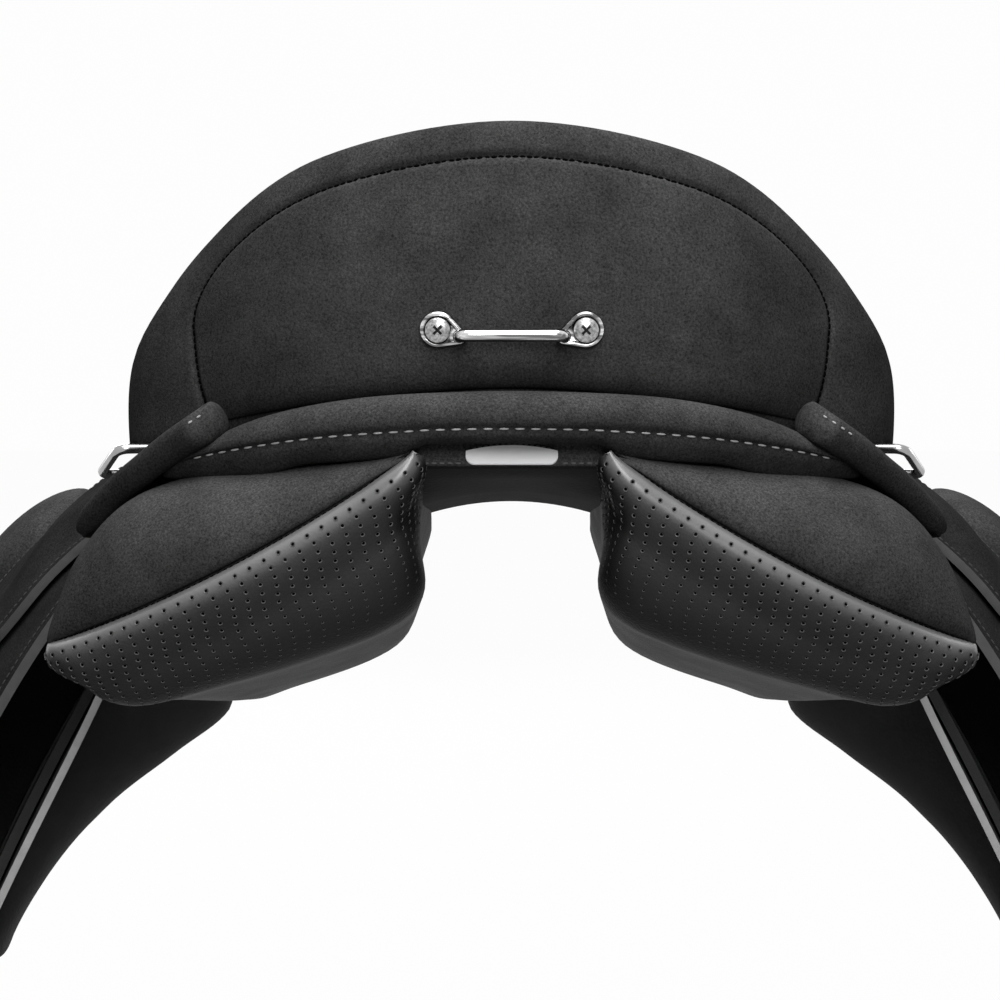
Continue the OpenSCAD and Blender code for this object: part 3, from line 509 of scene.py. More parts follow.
def painted(name, **constants):
    """New material with one principled shader; returns it, the shader and the place on the object."""
    material = bpy.data.materials.new(name)
    material.use_nodes = True
    tree = material.node_tree
    shader = tree.nodes["Principled BSDF"]
    for key, value in constants.items():
        shader.inputs[key.replace("_", " ")].default_value = value
    place = tree.nodes.new("ShaderNodeTexCoord")
    return material, shader, Value(tree, place.outputs["Object"])


def feed(shader, key, value):
    value.tree.links.new(value.socket, shader.inputs[key])


def bumped(shader, height, strength, depth):
    made = height.node("ShaderNodeBump", None, {"Height": height, "Strength": strength, "Distance": depth})
    feed(shader, "Normal", made)


def suede(name, level, sheen):
    """Brushed leather: cloudy pile, fine fibres, a soft sheen, and painted light and shade by how the surface
    faces.
    """
    material, shader, place = painted(
        name, Roughness=0.95, Specular_IOR_Level=0.0, Sheen_Weight=sheen, Sheen_Roughness=0.4)
    cloud = place.noise(place, 34.0, 4.0, 0.62)
    fibre = place.noise(place, 1000.0, 3.0, 0.7)
    fine = place.noise(place, 2400.0, 2.0, 0.6)
    # Painted light and shade: the tone is scaled by how the surface faces
    tone = level * place.marked("painted_light") * (0.35 + cloud * 1.3) * (fibre * 2.8 - 0.4) * (0.5 + fine)
    feed(shader, "Base Color", tone.grey())
    bumped(shader, fibre * 0.7 + fine * 0.5, 0.45, 0.0011)
    return material


def leather(name, level, gloss, shine, cell=520.0, polish_and_painted_light=False):
    """Smooth leather with a fine grain; with polish_and_painted_light set, a gloss along its rolled edge and
    a tone with painted light and shade by how the surface faces.
    """
    material, shader, place = painted(name, Specular_IOR_Level=shine)
    grain = place.cells(place, cell)
    patch = place.noise(place, 45.0, 3.0)
    tone = level * (0.75 + patch * 0.5)
    if polish_and_painted_light:
        # Painted light and shade, squared: lighter where the facing turns up under the seam, darker where it
        # faces down or sideways
        painted_light = place.marked("painted_light")
        tone = tone * painted_light * painted_light
    feed(shader, "Base Color", tone.grey())
    feed(shader, "Roughness", gloss + (patch - 0.5) * 0.18)
    bumped(shader, grain + patch * 0.3, 0.22, 0.0008)
    if polish_and_painted_light:
        feed(shader, "Coat Weight", place.marked("polish"))
        shader.inputs["Coat Roughness"].default_value = 0.3
        shader.inputs["Coat IOR"].default_value = 1.8
    return material


def metal(name, level, gloss, mottle=0.06, scale=180.0, drawn=0.0):
    """Plated steel with wear and, where it is drawn wire, dark lines along it: partly drawing marks, partly a
    painted reflection.
    """
    material, shader, place = painted(name, Metallic=1.0)
    wear = place.noise(place, scale, 3.0)
    tone = level + (wear - 0.5) * mottle
    if drawn:
        # Dark lines along the wire: partly drawing marks, partly a painted reflection
        long = place.node("ShaderNodeMapping", None, {"Vector": place, "Scale": (25.0, 420.0, 420.0)})
        line = place.noise(long, 1.0, 2.0) * 5.0 - 2.2
        line = line.node("ShaderNodeClamp", None, {0: line})
        tone = tone * (1 - drawn + line * drawn)
    feed(shader, "Base Color", tone.grey())
    feed(shader, "Roughness", gloss + (wear - 0.5) * 0.08)
    return material


def plain(name, colour, rough, spread=0.15, scale=160.0, shine=0.5):
    """Even colour with a slight cloud in it."""
    material, shader, place = painted(name, Specular_IOR_Level=shine)
    cloud = place.noise(place, scale, 3.0)
    shade = 1 - spread / 2 + cloud * spread
    mixed = shade.node("ShaderNodeCombineColor", None, {k: shade * colour[k] for k in range(3)})
    feed(shader, "Base Color", mixed)
    feed(shader, "Roughness", rough + (cloud - 0.5) * 0.1)
    return material


def neutral(level):
    return (level, level, level)


black_suede = suede("black_suede", 0.043, 0.012)
# Painted shade: a darker copy of the black suede, for the flaps and skirts
shaded_suede = suede("shaded_suede", 0.02, 0.008)
smooth_leather = leather("smooth_leather", 0.024, 0.5, 0.3)
facing_leather = leather("perforated_leather", 0.095, 0.45, 0.01, cell=700.0, polish_and_painted_light=True)
rim_leather = leather("rim_leather", 0.09, 0.4, 0.3)
# Painted light and shade: a darker and a lighter copy of one leather; the darker on the channel's lining,
# which the floor lights, the lighter on the sweat flaps, pads and billets, which lie in shade
shaded_lining = leather("shaded_lining", 0.019, 0.75, 0.02)
lit_leather = leather("lit_leather", 0.044, 0.75, 0.02)
dark_edge = plain("dark_edge", neutral(0.08), 0.8, 0.5, shine=0.05)
cut_edge = plain("cut_edge", neutral(0.36), 0.7, 0.4, shine=0.2)
dark_thread = plain("dark_thread", neutral(0.003), 0.9, shine=0.0)
pale_thread = plain("pale_thread", neutral(0.36), 0.6)
grey_thread = plain("grey_thread", neutral(0.12), 0.6)
deep_thread = plain("deep_thread", neutral(0.05), 0.7, shine=0.1)
# Painted shade: near black, for the shaded depth of each perforation
hole_shade = plain("hole_shade", neutral(0.003), 0.9, shine=0.0)
# The cantle bar's dark lines are partly a painted reflection
bright_steel = metal("bright_steel", 0.75, 0.12, drawn=0.8)
wire_steel = metal("wire_steel", 0.36, 0.2, mottle=0.2, scale=90.0)
screw_steel = metal("screw_steel", 0.34, 0.3, mottle=0.9, scale=900.0)
dull_steel = metal("dull_steel", 0.5, 0.38)
# Painted shade for the screws' cross recesses
recess_shade = plain("recess_shade", neutral(0.03), 0.6, 0.6, scale=900.0, shine=0.2)
tree_black = plain("tree_black", neutral(0.018), 0.6, 0.5, scale=60.0, shine=0.2)
painted_steel = plain("painted_steel", (0.02, 0.02, 0.021), 0.45, 0.3, scale=90.0, shine=0.4)
white_plate = plain("white_plate", (0.94, 0.94, 0.95), 0.4, 0.05)

# Finishes of the pieces that keep their solid form
CAD_PAINT = {
    "tree_shell": tree_black, "tree_rail": tree_black, "gullet_plate": painted_steel,
    "stirrup_bar": dull_steel, "cantle_bar_screws": screw_steel, "billet": lit_leather,
    "badge_plate": white_plate, "dee_tab": smooth_leather,
}
for name, node in nodes.items():
    for start, paint in CAD_PAINT.items():
        if name.startswith(start):
            node.data.materials.clear()
            node.data.materials.append(paint)

# Seat cover with a groove along the stitched seam of the cantle
GROOVE = 1.9
GROOVE_WIDE = 2.1
TURN_UNDER = np.array([0, 4.0, -10.0])
seam_points = pad_seam(80)[0]


def off_seam(points):
    """Distance of points from the cantle's seam."""
    least = np.full(points.shape[:-1], 99.0)
    for p in seam_points:
        least = np.minimum(least, np.linalg.norm(points - p, axis=-1))
    return least


def seat_cover():
    fine = np.arange(38, 54, 0.5)
    turn = np.unique(np.concatenate([np.arange(0, 360, 1.8), fine, 360 - fine]).round(3))
    outer_r = np.concatenate([np.linspace(0, 0.9, 26), np.linspace(0.92, 1.5, 40), np.linspace(1.52, 2, 14)])
    a, r = np.meshgrid(turn, outer_r)
    top = seat_point(a, r)
    groove = GROOVE * np.exp(-(off_seam(top) / GROOVE_WIDE) ** 2)
    top = top - groove[..., None] * seat_normal(a, r)
    # The cover's edge is turned under at the back
    rear = ease((62 - np.minimum(turn, 360 - turn)) / 12)
    turned = top[-1:] + rear[None, :, None] * TURN_UNDER
    under_r = np.concatenate([np.linspace(2, 1, 16), np.linspace(0.85, 0, 9)])
    a, r = np.meshgrid(turn, under_r)
    under = seat_point(a, r) - COVER_T * seat_normal(a, r)
    points = np.concatenate([top, turned, under])
    # Both innermost rings close across the middle plane
    points[0, :, 0] = 0
    points[-1, :, 0] = 0
    return ring_mesh(points)


piece("seat", seat_cover(), "saddle", [black_suede], ["seat_cover", "seat_foam"])


# Cantle back: a pad that rises out of the seam
PAD_SWELL = 5.85
PAD_LIP = 0.8
PAD_DEEP = 1.2
PAD_ROUND = 3


def pad_point(s, w, d):
    a, r = pad_place(s, w)
    return seat_point(a, r) + d[..., None] * seat_normal(a, r)


def cantle_back():
    sweep = np.linspace(-math.pi / 2, math.pi / 2, 170)
    turn, w = np.meshgrid(sweep, slow_ends(np.linspace(0, 1, 72)))
    s = np.sin(turn)
    down = np.minimum(w / 0.8, 1) ** 0.85 * np.sqrt(np.clip(1 - np.clip((w - 0.9) / 0.1, 0, 1) ** 2, 0, 1))
    over = np.sin(np.minimum((1 - np.abs(s)) / 0.45, 1) * math.pi / 2)
    near = off_seam(pad_point(s, w, np.zeros(s.shape)))
    rise = (GROOVE + PAD_LIP) * quarter_round(near / PAD_ROUND) - GROOVE + PAD_SWELL * down * over
    outer = pad_point(s, w, rise)
    outer = outer + 0.3 * (wobble(outer, 55, 2) * down * over)[..., None]
    return slab(outer, pad_point(s, w, np.full(s.shape, -GROOVE - PAD_DEEP)))


piece("cantle_pad", cantle_back(), "saddle", [black_suede], ["cantle_back"])

# Cantle bar: two dished eye plates with a bent wire between them
BAR_W = 0.8
BAR_LIFT = 0.3
BAR_DROP = 4
SCREW_X = 31
PAD_EDGE_T = 1.2
EYE_R = 8.0
EYE_TIP = 9.5
EYE_TIP_R = 3.5
EYE_T = 3.0
EYE_DROOP = math.radians(20)
BAR_R = 2.75
BAR_BEND = 4.5
BAR_OUT = 7 + BAR_R
CROSS_LONG = 2.4
CROSS_WIDE = 0.55
CROSS_HIGH = EYE_T + 1.75


def pad_top(s, w):
    """Point of the pad's outer face under the bar, and the direction off it."""
    def at(s, w):
        swell = (4 * w * (1 - w)) ** 0.4 * math.sqrt(1 - s ** 4)
        rise = LAY_GAP + PAD_EDGE_T + (BACK_CROWN - PAD_EDGE_T) * swell
        return pad_point(np.array(s), np.array(w), np.array(rise))
    down = at(s, w + 0.03) - at(s, w - 0.03)
    return at(s, w), unit(np.cross(down, at(s + 0.02, w) - at(s - 0.02, w)))


def eye_frame():
    """Middle of the right eye plate's foot and its three directions."""
    s = 0.2
    for _ in range(6):
        s = float(s * SCREW_X / pad_top(s, BAR_W)[0][0])
    at, out = pad_top(s, BAR_W)
    along = unit(np.cross([0, 0, 1.0], out))
    return at + BAR_LIFT * out, along, np.cross(out, along), out


def eye_ring(inset):
    """Teardrop outline drawn in by an inset."""
    lean = math.acos((EYE_R - EYE_TIP_R) / EYE_TIP)
    wide = np.linspace(lean - math.pi, math.pi - lean, 44)
    small = np.linspace(math.pi - lean, math.pi + lean, 14)[1:-1]
    big = (EYE_R - inset) * np.stack([np.cos(wide), np.sin(wide)], axis=-1)
    tip = (EYE_TIP_R - inset) * np.stack([np.cos(small), np.sin(small)], axis=-1) - np.array([EYE_TIP, 0])
    return np.concatenate([big, tip])


def eye_plate():
    at, along, up, out = eye_frame()
    profile = ((0, 0), (0, 0.7), (0.02, 1.5), (0.2, 2.2), (0.6, 2.75), (1.1, EYE_T), (1.6, EYE_T),
               (2.1, 2.75), (2.5, 2.4))
    rows = [(eye_ring(inset), high) for inset, high in profile]
    inner = unit(rows[-1][0])
    for radius, high in ((5.0, 2.2), (2.4, 2.2), (2.4, 0)):
        rows.append((radius * inner, high))
    rows.append(rows[0])
    c, s = math.cos(EYE_DROOP), math.sin(EYE_DROOP)
    loops = []
    for ring, high in rows:
        flat = ring @ np.array([[c, s], [-s, c]])
        loops.append(at + flat[:, :1] * along + flat[:, 1:] * up + high * out)
    return ring_mesh(np.array(loops))


def bar_wire():
    at, along, up, out = eye_frame()
    neck = at - EYE_TIP * (math.cos(EYE_DROOP) * along + math.sin(EYE_DROOP) * up) + EYE_T / 2 * out
    middle, way = pad_top(0.0, BAR_W)
    middle = middle + BAR_LIFT * way + np.array([0, -BAR_OUT, -BAR_DROP])
    leg = np.array([0, neck[1] - middle[1], neck[2] - middle[2]])
    reach = np.linalg.norm(leg)
    leg = leg / reach
    bend = np.linspace(math.pi / 2, 0, 9)
    corner = [(neck[0] - BAR_BEND + BAR_BEND * math.cos(b), BAR_BEND - BAR_BEND * math.sin(b)) for b in bend]
    half = [(x, 0.0) for x in np.linspace(0, neck[0] - BAR_BEND, 8)[:-1]] + corner + [(neck[0], reach)]
    half = np.array(half)
    route = np.concatenate([half[:0:-1] * np.array([-1, 1]), half])
    ahead = unit(np.gradient(route, axis=0))
    side = np.cross([1.0, 0, 0], leg)
    turn = full_turn(20)
    loops = []
    for (x, t), (dx, dt) in zip(route, ahead):
        flat = np.array([-dt, 0, 0]) + dx * leg
        centre = np.array([x, middle[1], middle[2]]) + t * leg
        loops.append(centre + BAR_R * circled(turn, flat, side))
    return tube(np.array(loops))


plate = eye_plate()
piece("cantle_bar_steel", joined(plate, flipped(plate), bar_wire()), "saddle", [bright_steel],
      ["cantle_bar"])


def screw_cross_shade():
    """Painted shade: a dark plate at the floor of the cross in the right screw's head."""
    at, along, up, out = eye_frame()
    base = at + CROSS_HIGH * out
    ways = (unit(along + up), unit(along - up))
    bars = []
    for long, wide in (ways, ways[::-1]):
        low = [[base + i * CROSS_LONG * long + j * CROSS_WIDE * wide for i in (-1, 1)] for j in (-1, 1)]
        bars.append(slab(np.array(low), np.array(low) - 0.1 * out))
    return joined(*bars)


# Painted shade in the cross recesses of both screws
cross = joined(screw_cross_shade(), flipped(screw_cross_shade()))
piece("screw_cross_shade", cross, "saddle", [recess_shade], [])

# Dee rings: a rounded rectangle of wire
DEE_R = 2.2
DEE_HALF = 14.2
DEE_LONG = 26.4
DEE_CORNER = 5
DEES = {
    "rear": ([150.5, -161, 110.5], [0.33, 0.84, -0.43], [0.93, -0.3654, 0]),
    "front": ([88, SEAT_FRONT - 44, POMMEL_H - 88], [-0.48, 0.74, 0.47], [0.74, 0.48, 0]),
}


def dee_ring(at, u, w):
    u, w = unit(np.array(u)), unit(np.array(w))
    quarter = np.radians(np.linspace(0, 90, 12))
    route, out = [], []
    for k, (i, j) in enumerate(((1, 1), (-1, 1), (-1, -1), (1, -1))):
        a = quarter + k * math.pi / 2
        x = i * (DEE_HALF - DEE_CORNER) + DEE_CORNER * np.cos(a)
        y = DEE_LONG / 2 + j * (DEE_LONG / 2 - DEE_CORNER) + DEE_CORNER * np.sin(a)
        route.append(x[:, None] * u + y[:, None] * w)
        out.append(circled(a, u, w))
    route, out = np.concatenate(route), np.concatenate(out)
    ring = circled(full_turn(24), out[:, None], np.cross(u, w))
    return ring_mesh(np.array(at, float) + route[:, None] + DEE_R * ring, True)


for place, (at, u, w) in DEES.items():
    for side, sign in SIDES:
        ring = for_side(dee_ring(at, u, w), sign)
        piece(f"dee_wire_{place}_{side}", ring, f"dee_{place}_{side}", [wire_steel],
              [f"dee_ring_{place}_{side}"])

# Panels: gusset above and facing below, meeting in one seam
PANEL_YS = [-195, -60, 60, 150, 205]
INNER_TOP = [[40, 119], [40, 86], [42, 82], [46, 112.8], [48, 116]]
INNER_LOW = [[47, 43], [52, 22], [54, 24], [50, 82], [52, 92]]
FACE_MID = [[132, 13], [102, 2], [96, 1], [80, 28], [76, 48]]
OUTER_LOW = [[PANEL_HW, 33], [152, 18], [134, 4], [112, -4], [107, 10]]
OUTER_TOP = [[158, 99], [137, 64], [122, 56], [109, 44.8], [105, 47]]
SIDE_N = 52
MID_N = 24
PANEL_NOSE = 205
PANEL_ROUND = 52
FRONT_ROUND = 40
REAR_Y = -PANEL_BACK + 3
INNER_SWELL = 4
FACE_SWELL = 13
OUTER_SWELL = 9
TOP_SWELL = 4
SEAM_SAG = 24
SEAM_SUNK = 2.0
SEAM_CLOSED = 0.015
SEAM_SWEEP = 0.0042
SWEEP_FROM = 100
FACING_REACH = 9.0
FACING_HIGH = 7.4
FACING_DROP = 4.2
OUTER_FULL = 3
GUSSET_REACH = 8.0
GUSSET_HIGH = 2.5
POLISH_REACH = 8.5


def swollen(a, b, swell):
    d = unit(b - a)
    return (a + b) / 2 + swell * np.array([d[1], -d[0]])


def open_curve(keys, n):
    """Curve through the keys in n steps, without its last point."""
    keys = np.array(keys)
    row = np.vstack([2 * keys[0] - keys[1], keys, 2 * keys[-1] - keys[-2]])
    t = np.arange(n) * (len(keys) - 1) / n
    i = np.floor(t).astype(int)
    return catmull(row[i], row[i + 1], row[i + 2], row[i + 3], (t - i)[:, None])


def panel_loop(y):
    """Outline of the right panel at y: the facing from its inner seam to the outer one, then the gusset."""
    body = np.clip(y, PANEL_YS[0], PANEL_NOSE - FRONT_ROUND)
    rails = (INNER_TOP, INNER_LOW, FACE_MID, OUTER_LOW, OUTER_TOP)
    top_in, low_in, mid, low_out, top_out = (keyed(PANEL_YS, rail, body) for rail in rails)
    inner = [top_in, swollen(top_in, low_in, INNER_SWELL), low_in]
    face = open_curve([*inner, mid, swollen(mid, low_out, FACE_SWELL), low_out], SIDE_N)
    outer = [low_out, swollen(low_out, top_out, OUTER_SWELL), top_out]
    flank = open_curve([*outer, swollen(top_out, top_in, TOP_SWELL), top_in], SIDE_N)
    s = np.concatenate([face, flank])
    c = (s[0] + s[SIDE_N] + s[MID_N] + s[SIDE_N + MID_N]) / 4
    back = (PANEL_YS[0] - y) / PANEL_ROUND
    front = (y - body) / FRONT_ROUND
    w = max(SEAM_CLOSED, math.sqrt(max(0, 1 - back * back))) if back > 0 else 1
    v = math.sqrt(1 - front * front) if front > 0 else 1
    d = low_out - top_in
    t = np.clip((s - top_in) @ d / (d @ d), 0, 1)[:, None]
    q = top_in + d * t + SEAM_SAG * t * (1 - t) * unit(np.array([d[1], -d[0]]))
    e = c + (lerp(q, s, w) - c) * v
    sweep = SEAM_SWEEP * back * np.maximum(0, q[:, 0] - SWEEP_FROM) ** 2 if back > 0 else 0
    return xyz(e[:, 0], y + sweep, e[:, 1])


def grid_normals(grid):
    """Outward directions of a grid whose columns wrap round."""
    round_ = np.roll(grid, -1, axis=1) - np.roll(grid, 1, axis=1)
    normal = unit(np.cross(round_, np.gradient(grid, axis=0)))
    outward = (normal * (grid - grid.mean(axis=1, keepdims=True))).sum() > 0
    return normal if outward else -normal


def puffed(loops):
    """Draws the seam in and lets both skins swell out of it."""
    from_rear = run_of(loops)
    closed = run_of(np.concatenate([loops, loops[:, :1]], axis=1), 1)
    round_, whole = closed[:, :-1], closed[:, -1:]
    at_low = round_[:, SIDE_N:SIDE_N + 1]
    from_side = np.minimum(np.minimum(round_, whole - round_), np.abs(round_ - at_low))
    near = np.minimum(from_rear, from_side)
    column = np.arange(loops.shape[1])
    facing = column < SIDE_N
    rise = quarter_round(near / np.where(facing, FACING_REACH, GUSSET_REACH))
    outer = OUTER_FULL * np.exp(-((column - SIDE_N + 9) / 7) ** 2)
    outer = outer * ease((from_rear - 3) / 12) * ease((110 - from_rear) / 60)
    high = np.where(facing, FACING_HIGH - FACING_DROP * ease((near - 6) / 22) + outer, GUSSET_HIGH)
    return loops + grid_normals(loops) * (high * rise - SEAM_SUNK)[..., None]


def panel_grid():
    turn = np.concatenate([np.linspace(0.02, 0.22, 18), np.linspace(0.25, math.pi / 2, 30)])
    back = REAR_Y + PANEL_ROUND * (1 - np.cos(turn))
    middle = np.linspace(-190, 160, 46)
    front = PANEL_NOSE - FRONT_ROUND + FRONT_ROUND * np.sin(np.linspace(0.1, 1.45, 14))
    rows = np.concatenate([[REAR_Y], back, middle, front])
    return puffed(np.array([panel_loop(y) for y in rows]))


panel = panel_grid()
CLOTH = {
    "quality": 5, "mass": 0.4, "tension_stiffness": 25, "compression_stiffness": 25,
    "bending_stiffness": 0.4, "use_pressure": True, "uniform_pressure_force": 4,
    "vertex_group_mass": "held",
}
CLOTH_FRAMES = 20
MOST_MOVE = 1.0


def settled(grid):
    """Lets the stuffing press the skins out between their seams, by cloth simulation."""
    rows, cols = grid.shape[:2]
    points, faces, _ = tube(grid)
    mesh = mesh_of("panel_trial", points, faces)
    trial = placed("panel_trial", mesh)
    held = trial.vertex_groups.new(name="held")
    index = np.arange(rows * cols).reshape(rows, cols)
    ends = [len(points) - 2, len(points) - 1]
    seam = np.concatenate([index[0], index[-1], index[:, 0], index[:, SIDE_N], ends])
    held.add([int(k) for k in np.unique(seam)], 1.0, "REPLACE")
    cloth = trial.modifiers.new("stuffing", "CLOTH")
    for key, value in CLOTH.items():
        setattr(cloth.settings, key, value)
    cloth.settings.effector_weights.gravity = 0
    cloth.collision_settings.use_collision = False
    cloth.point_cache.frame_start = 1
    cloth.point_cache.frame_end = CLOTH_FRAMES
    for k in range(1, CLOTH_FRAMES + 1):
        bpy.context.scene.frame_set(k)
    view = bpy.context.evaluated_depsgraph_get()
    shaped = trial.evaluated_get(view)
    co = np.zeros(len(points) * 3)
    shaped.data.vertices.foreach_get("co", co)
    moved = co.reshape(-1, 3)[:rows * cols].reshape(rows, cols, 3) / MM - grid
    bpy.context.scene.frame_set(1)
    bpy.data.objects.remove(trial)
    bpy.data.meshes.remove(mesh)
    far = np.linalg.norm(moved, axis=-1, keepdims=True)
    # The rolled edge keeps its shape, and no point moves by more than the cap
    share = ease((run_of(grid) - 12) / 25)[..., None]
    return grid + share * moved * np.minimum(1, MOST_MOVE / np.maximum(far, 1e-6))


panel = settled(panel)
panel_shape = tube(panel)
rows, cols = panel.shape[:2]
column = np.arange(cols)
panel_shape[2][:(rows - 1) * cols] = np.tile(column < SIDE_N, rows - 1)
panel_polish = np.exp(-(run_of(panel) / POLISH_REACH) ** 4)
panel_polish = panel_polish * (0.35 + 0.65 * ease((SIDE_N - 2 - column) / 8))
panel_polish = np.append(panel_polish.ravel(), [0, 0])
for side, sign in SIDES:
    parts = [f"panel_{kind}_{side}" for kind in ("core", "facing", "gusset")]
    piece(f"panel_{side}", for_side(panel_shape, sign), "saddle", [black_suede, facing_leather],
          parts, polish=panel_polish)

# Collar over the panels' back
COLLAR_HALF = 150
COLLAR_TOP = 143.5
COLLAR_FOOT = 121.5
COLLAR_SAG = 0.00055
COLLAR_SWEEP = 0.0023
COLLAR_DEEP = 11
COLLAR_DENT = 1.5
COLLAR_STITCH = math.radians(117)


def collar_mid(x):
    """The collar's middle at x, as y and z, and half its height."""
    high = COLLAR_TOP - COLLAR_SAG * x ** 2 - 4.4e-8 * x ** 4
    low = COLLAR_FOOT - COLLAR_SAG * x ** 2
    y = -PANEL_BACK + 6.2 + COLLAR_SWEEP * x * x
    return y, (high + low) / 2, np.maximum(2, (high - low) / 2)


def collar_point(x, a, proud=0.0):
    """Point of the collar at the angle a from its top, turning to the rear."""
    y, z, h = collar_mid(x)
    e = np.sqrt(np.clip(1 - (np.abs(x) / (COLLAR_HALF + 2)) ** 8, 0.06, 1))
    dent = COLLAR_DENT * np.exp(-((a - COLLAR_STITCH) / 0.17) ** 2) - proud
    low = 5.5 * ease((np.abs(x) - 36) / 10) + 5 * ease((np.abs(x) - 85) / 30)
    lip = low * np.clip(-np.cos(a), 0, 1) ** 4 * e
    return xyz(x, y - (COLLAR_DEEP - dent) * e * np.sin(a), z + (h - dent) * e * np.cos(a) - lip)


def collar():
    x = COLLAR_HALF * np.cos(np.linspace(0, math.pi, 110))
    a, x = np.meshgrid(full_turn(56), x)
    loops = collar_point(x, a)
    return tube(loops + 0.3 * wobble(loops, 40, 5)[..., None] * np.array([0, 1, 1]))


piece("collar", collar(), "saddle", [black_suede], ["panel_collar"])

# Rear skirts with a rolled edge
ROLL_KEYS = np.array([[124, -227, 132], [147, -211, 119], [172, -188, 99.5], [189, -163, 79]], float)
FORE_KEYS = np.array([[126, -128, 103], [146, -122, 94.5], [164, -117, 84], [176, -112, 74]], float)
SKIRT_LIFT = unit(np.array([0.5, 0, 0.85]))
REAR_SKIRT_T = 4
ROLL_R = (7.8, 5.6)
ROLL_FLAT = 0.85
ROLL_IN = 5
ROLL_TUCK = 11


def roll_point(v, a, proud=0.0):
    """Point of the rolled edge at the share v along it and the angle a round it, from above to the rear."""
    way = unit(bezier(ROLL_KEYS, v + 0.01) - bezier(ROLL_KEYS, v - 0.01))
    out = unit(np.cross(way, np.cross([0, -1.0, 0], way)))
    up = np.cross(way, out)
    up = up * np.where(up[..., 2:] < 0, -1, 1)
    radius = lerp(*ROLL_R, v) * quarter_round(np.minimum(v / 0.03, (1 - v) / 0.16), BLUNT) + proud
    # Its upper end goes in under the cantle
    back = xyz(0, ROLL_IN + ROLL_TUCK * (1 - ease(v / 0.17)), 0)
    return bezier(ROLL_KEYS, v) + back + radius[..., None] * circled(a, up, ROLL_FLAT * out)


def rear_skirt():
    w, v = np.meshgrid(np.linspace(0, 1, 30), np.linspace(0, 1, 40), indexing="ij")
    w = lerp(0.05 + 0.17 * (1 - ease(v / 0.2)), 1, w)
    base = lerp(bezier(ROLL_KEYS, v), bezier(FORE_KEYS, v), w[..., None])
    half = REAR_SKIRT_T / 2 * SKIRT_LIFT
    a, v = np.meshgrid(full_turn(32), slow_ends(np.linspace(0, 1, 60)))
    roll = roll_point(v, a)
    return joined(slab(base - half, base + half), tube(roll + 0.25 * wobble(roll, 30, 7)[..., None]))


for side, sign in SIDES:
    piece(f"rear_skirt_leather_{side}", for_side(rear_skirt(), sign), "saddle", [black_suede],
          [f"rear_skirt_{side}"])


# Flap surface and the pieces laid on it
FLAP_BOW = 18
FLAP_BOW_Y = 30
FLAP_FOOT_X = (296, 290)
SKIRT_OFF = 6.7
SKIRT_Y = (-60, 106)
SKIRT_LONG = 0.42
BLOCK_Y = (172, 190)
BLOCK_U = (0.3, 0.76)
BLOCK_HALF = (46, 30)
BLOCK_EDGE = 3
FORE_Y = (74, 182)
FORE_US = [0.08, 0.15, 0.25, 0.4, 0.55, 0.66, 0.78]
FORE_THICK = [8, 36, 54, 47, 30, 18, 9]
KNEE_Y = (116, 174)
KNEE_U = (0.14, 0.72)


def off_curve(curve, u, y, d):
    """Point beside a curve in the plane at y; each of the curve's points is an array."""
    g = bezier(curve, u + 0.01) - bezier(curve, u - 0.01)
    n = unit(np.stack([-g[..., 1], g[..., 0]], axis=-1))
    p = bezier(curve, u) + n * np.asarray(d)[..., None]
    return xyz(p[..., 0], y, p[..., 1])


def between(a, b, t):
    return lerp(np.array(a, float), np.array(b, float), t[..., None])


def fore_share(y):
    """Share of the way from the flaps' rear edge to their front."""
    return (y - FLAP_REAR) / FLAP_RUN


def flap_point(y, u, d):
    y, u, d = matched(y, u, d)
    t = fore_share(y)
    h = hinge(y)
    p0 = np.stack([h[..., 0], h[..., 2]], axis=-1)
    p3 = np.stack([lerp(*FLAP_FOOT_X, t), np.full(t.shape, FLAP_LOW)], axis=-1)
    curve = [p0, p0 + between([92, -92], [155, -40], t), p3 + between([-11, 130], [-5, 255], t), p3]
    reach = np.where(y < FLAP_BOW_Y, 125, 220)
    bow = FLAP_BOW * (1 - ((y - FLAP_BOW_Y) / reach) ** 2) * ease(u / 0.25)
    return off_curve(curve, u, y, d + bow)


def foot(v, start, narrow):
    """Share of its width that a leaf keeps: all down to the start, and then less along an arc."""
    return np.sqrt(1 - (1 - narrow ** 2) * np.clip((v - start) / (1 - start), 0, 1) ** 2)


def across(rear, front, k, f):
    """Place at the share k from a rear to a front edge, both drawn in to the share f of the width."""
    return lerp((rear + front) / 2, np.where(k < 0.5, rear, front), np.abs(2 * k - 1) * f)


def unit_grid(rows, cols, bunch=1.0):
    """Shares along rows and columns from 0 to 1, closer together at the ends of the rows."""
    v = np.linspace(0, 1, rows)
    v = lerp(v, slow_ends(v), bunch)
    return np.meshgrid(v, np.linspace(0, 1, cols), indexing="ij")


def leaf(face, n, thick):
    """Sheet of leather with n rows and columns, from a function for its points."""
    v, k = unit_grid(n, n)
    return slab(face(v, k, thick / 2), face(v, k, -thick / 2))


def leaf_y(v, k, front, swing, turn, start, narrow):
    """Place along the saddle at shares down and across a flap with a swung front edge."""
    fore = front + swing * np.sin(np.radians(turn * v))
    return across(FLAP_REAR + 60 * v ** 4, fore, k, foot(v, start, narrow))


def flap_face(v, k, d):
    """Point of the flap at shares down and across it, off its middle by d."""
    y = leaf_y(v, k, front=168, swing=70, turn=150, start=0.74, narrow=0.34)
    notch = 0.15 * ease((y + 24) / 14) * ease((110 - y) / 14)
    return flap_point(y, np.maximum(v, notch * (1 - v) + v), d)


def flap():
    welts = [rod(flap_point(a, 0, 0), flap_point(b, 0, 0), WELT_R) for a, b in ((-89, -28), (114, 160))]
    return joined(leaf(flap_face, 72, FLAP_T), *welts)


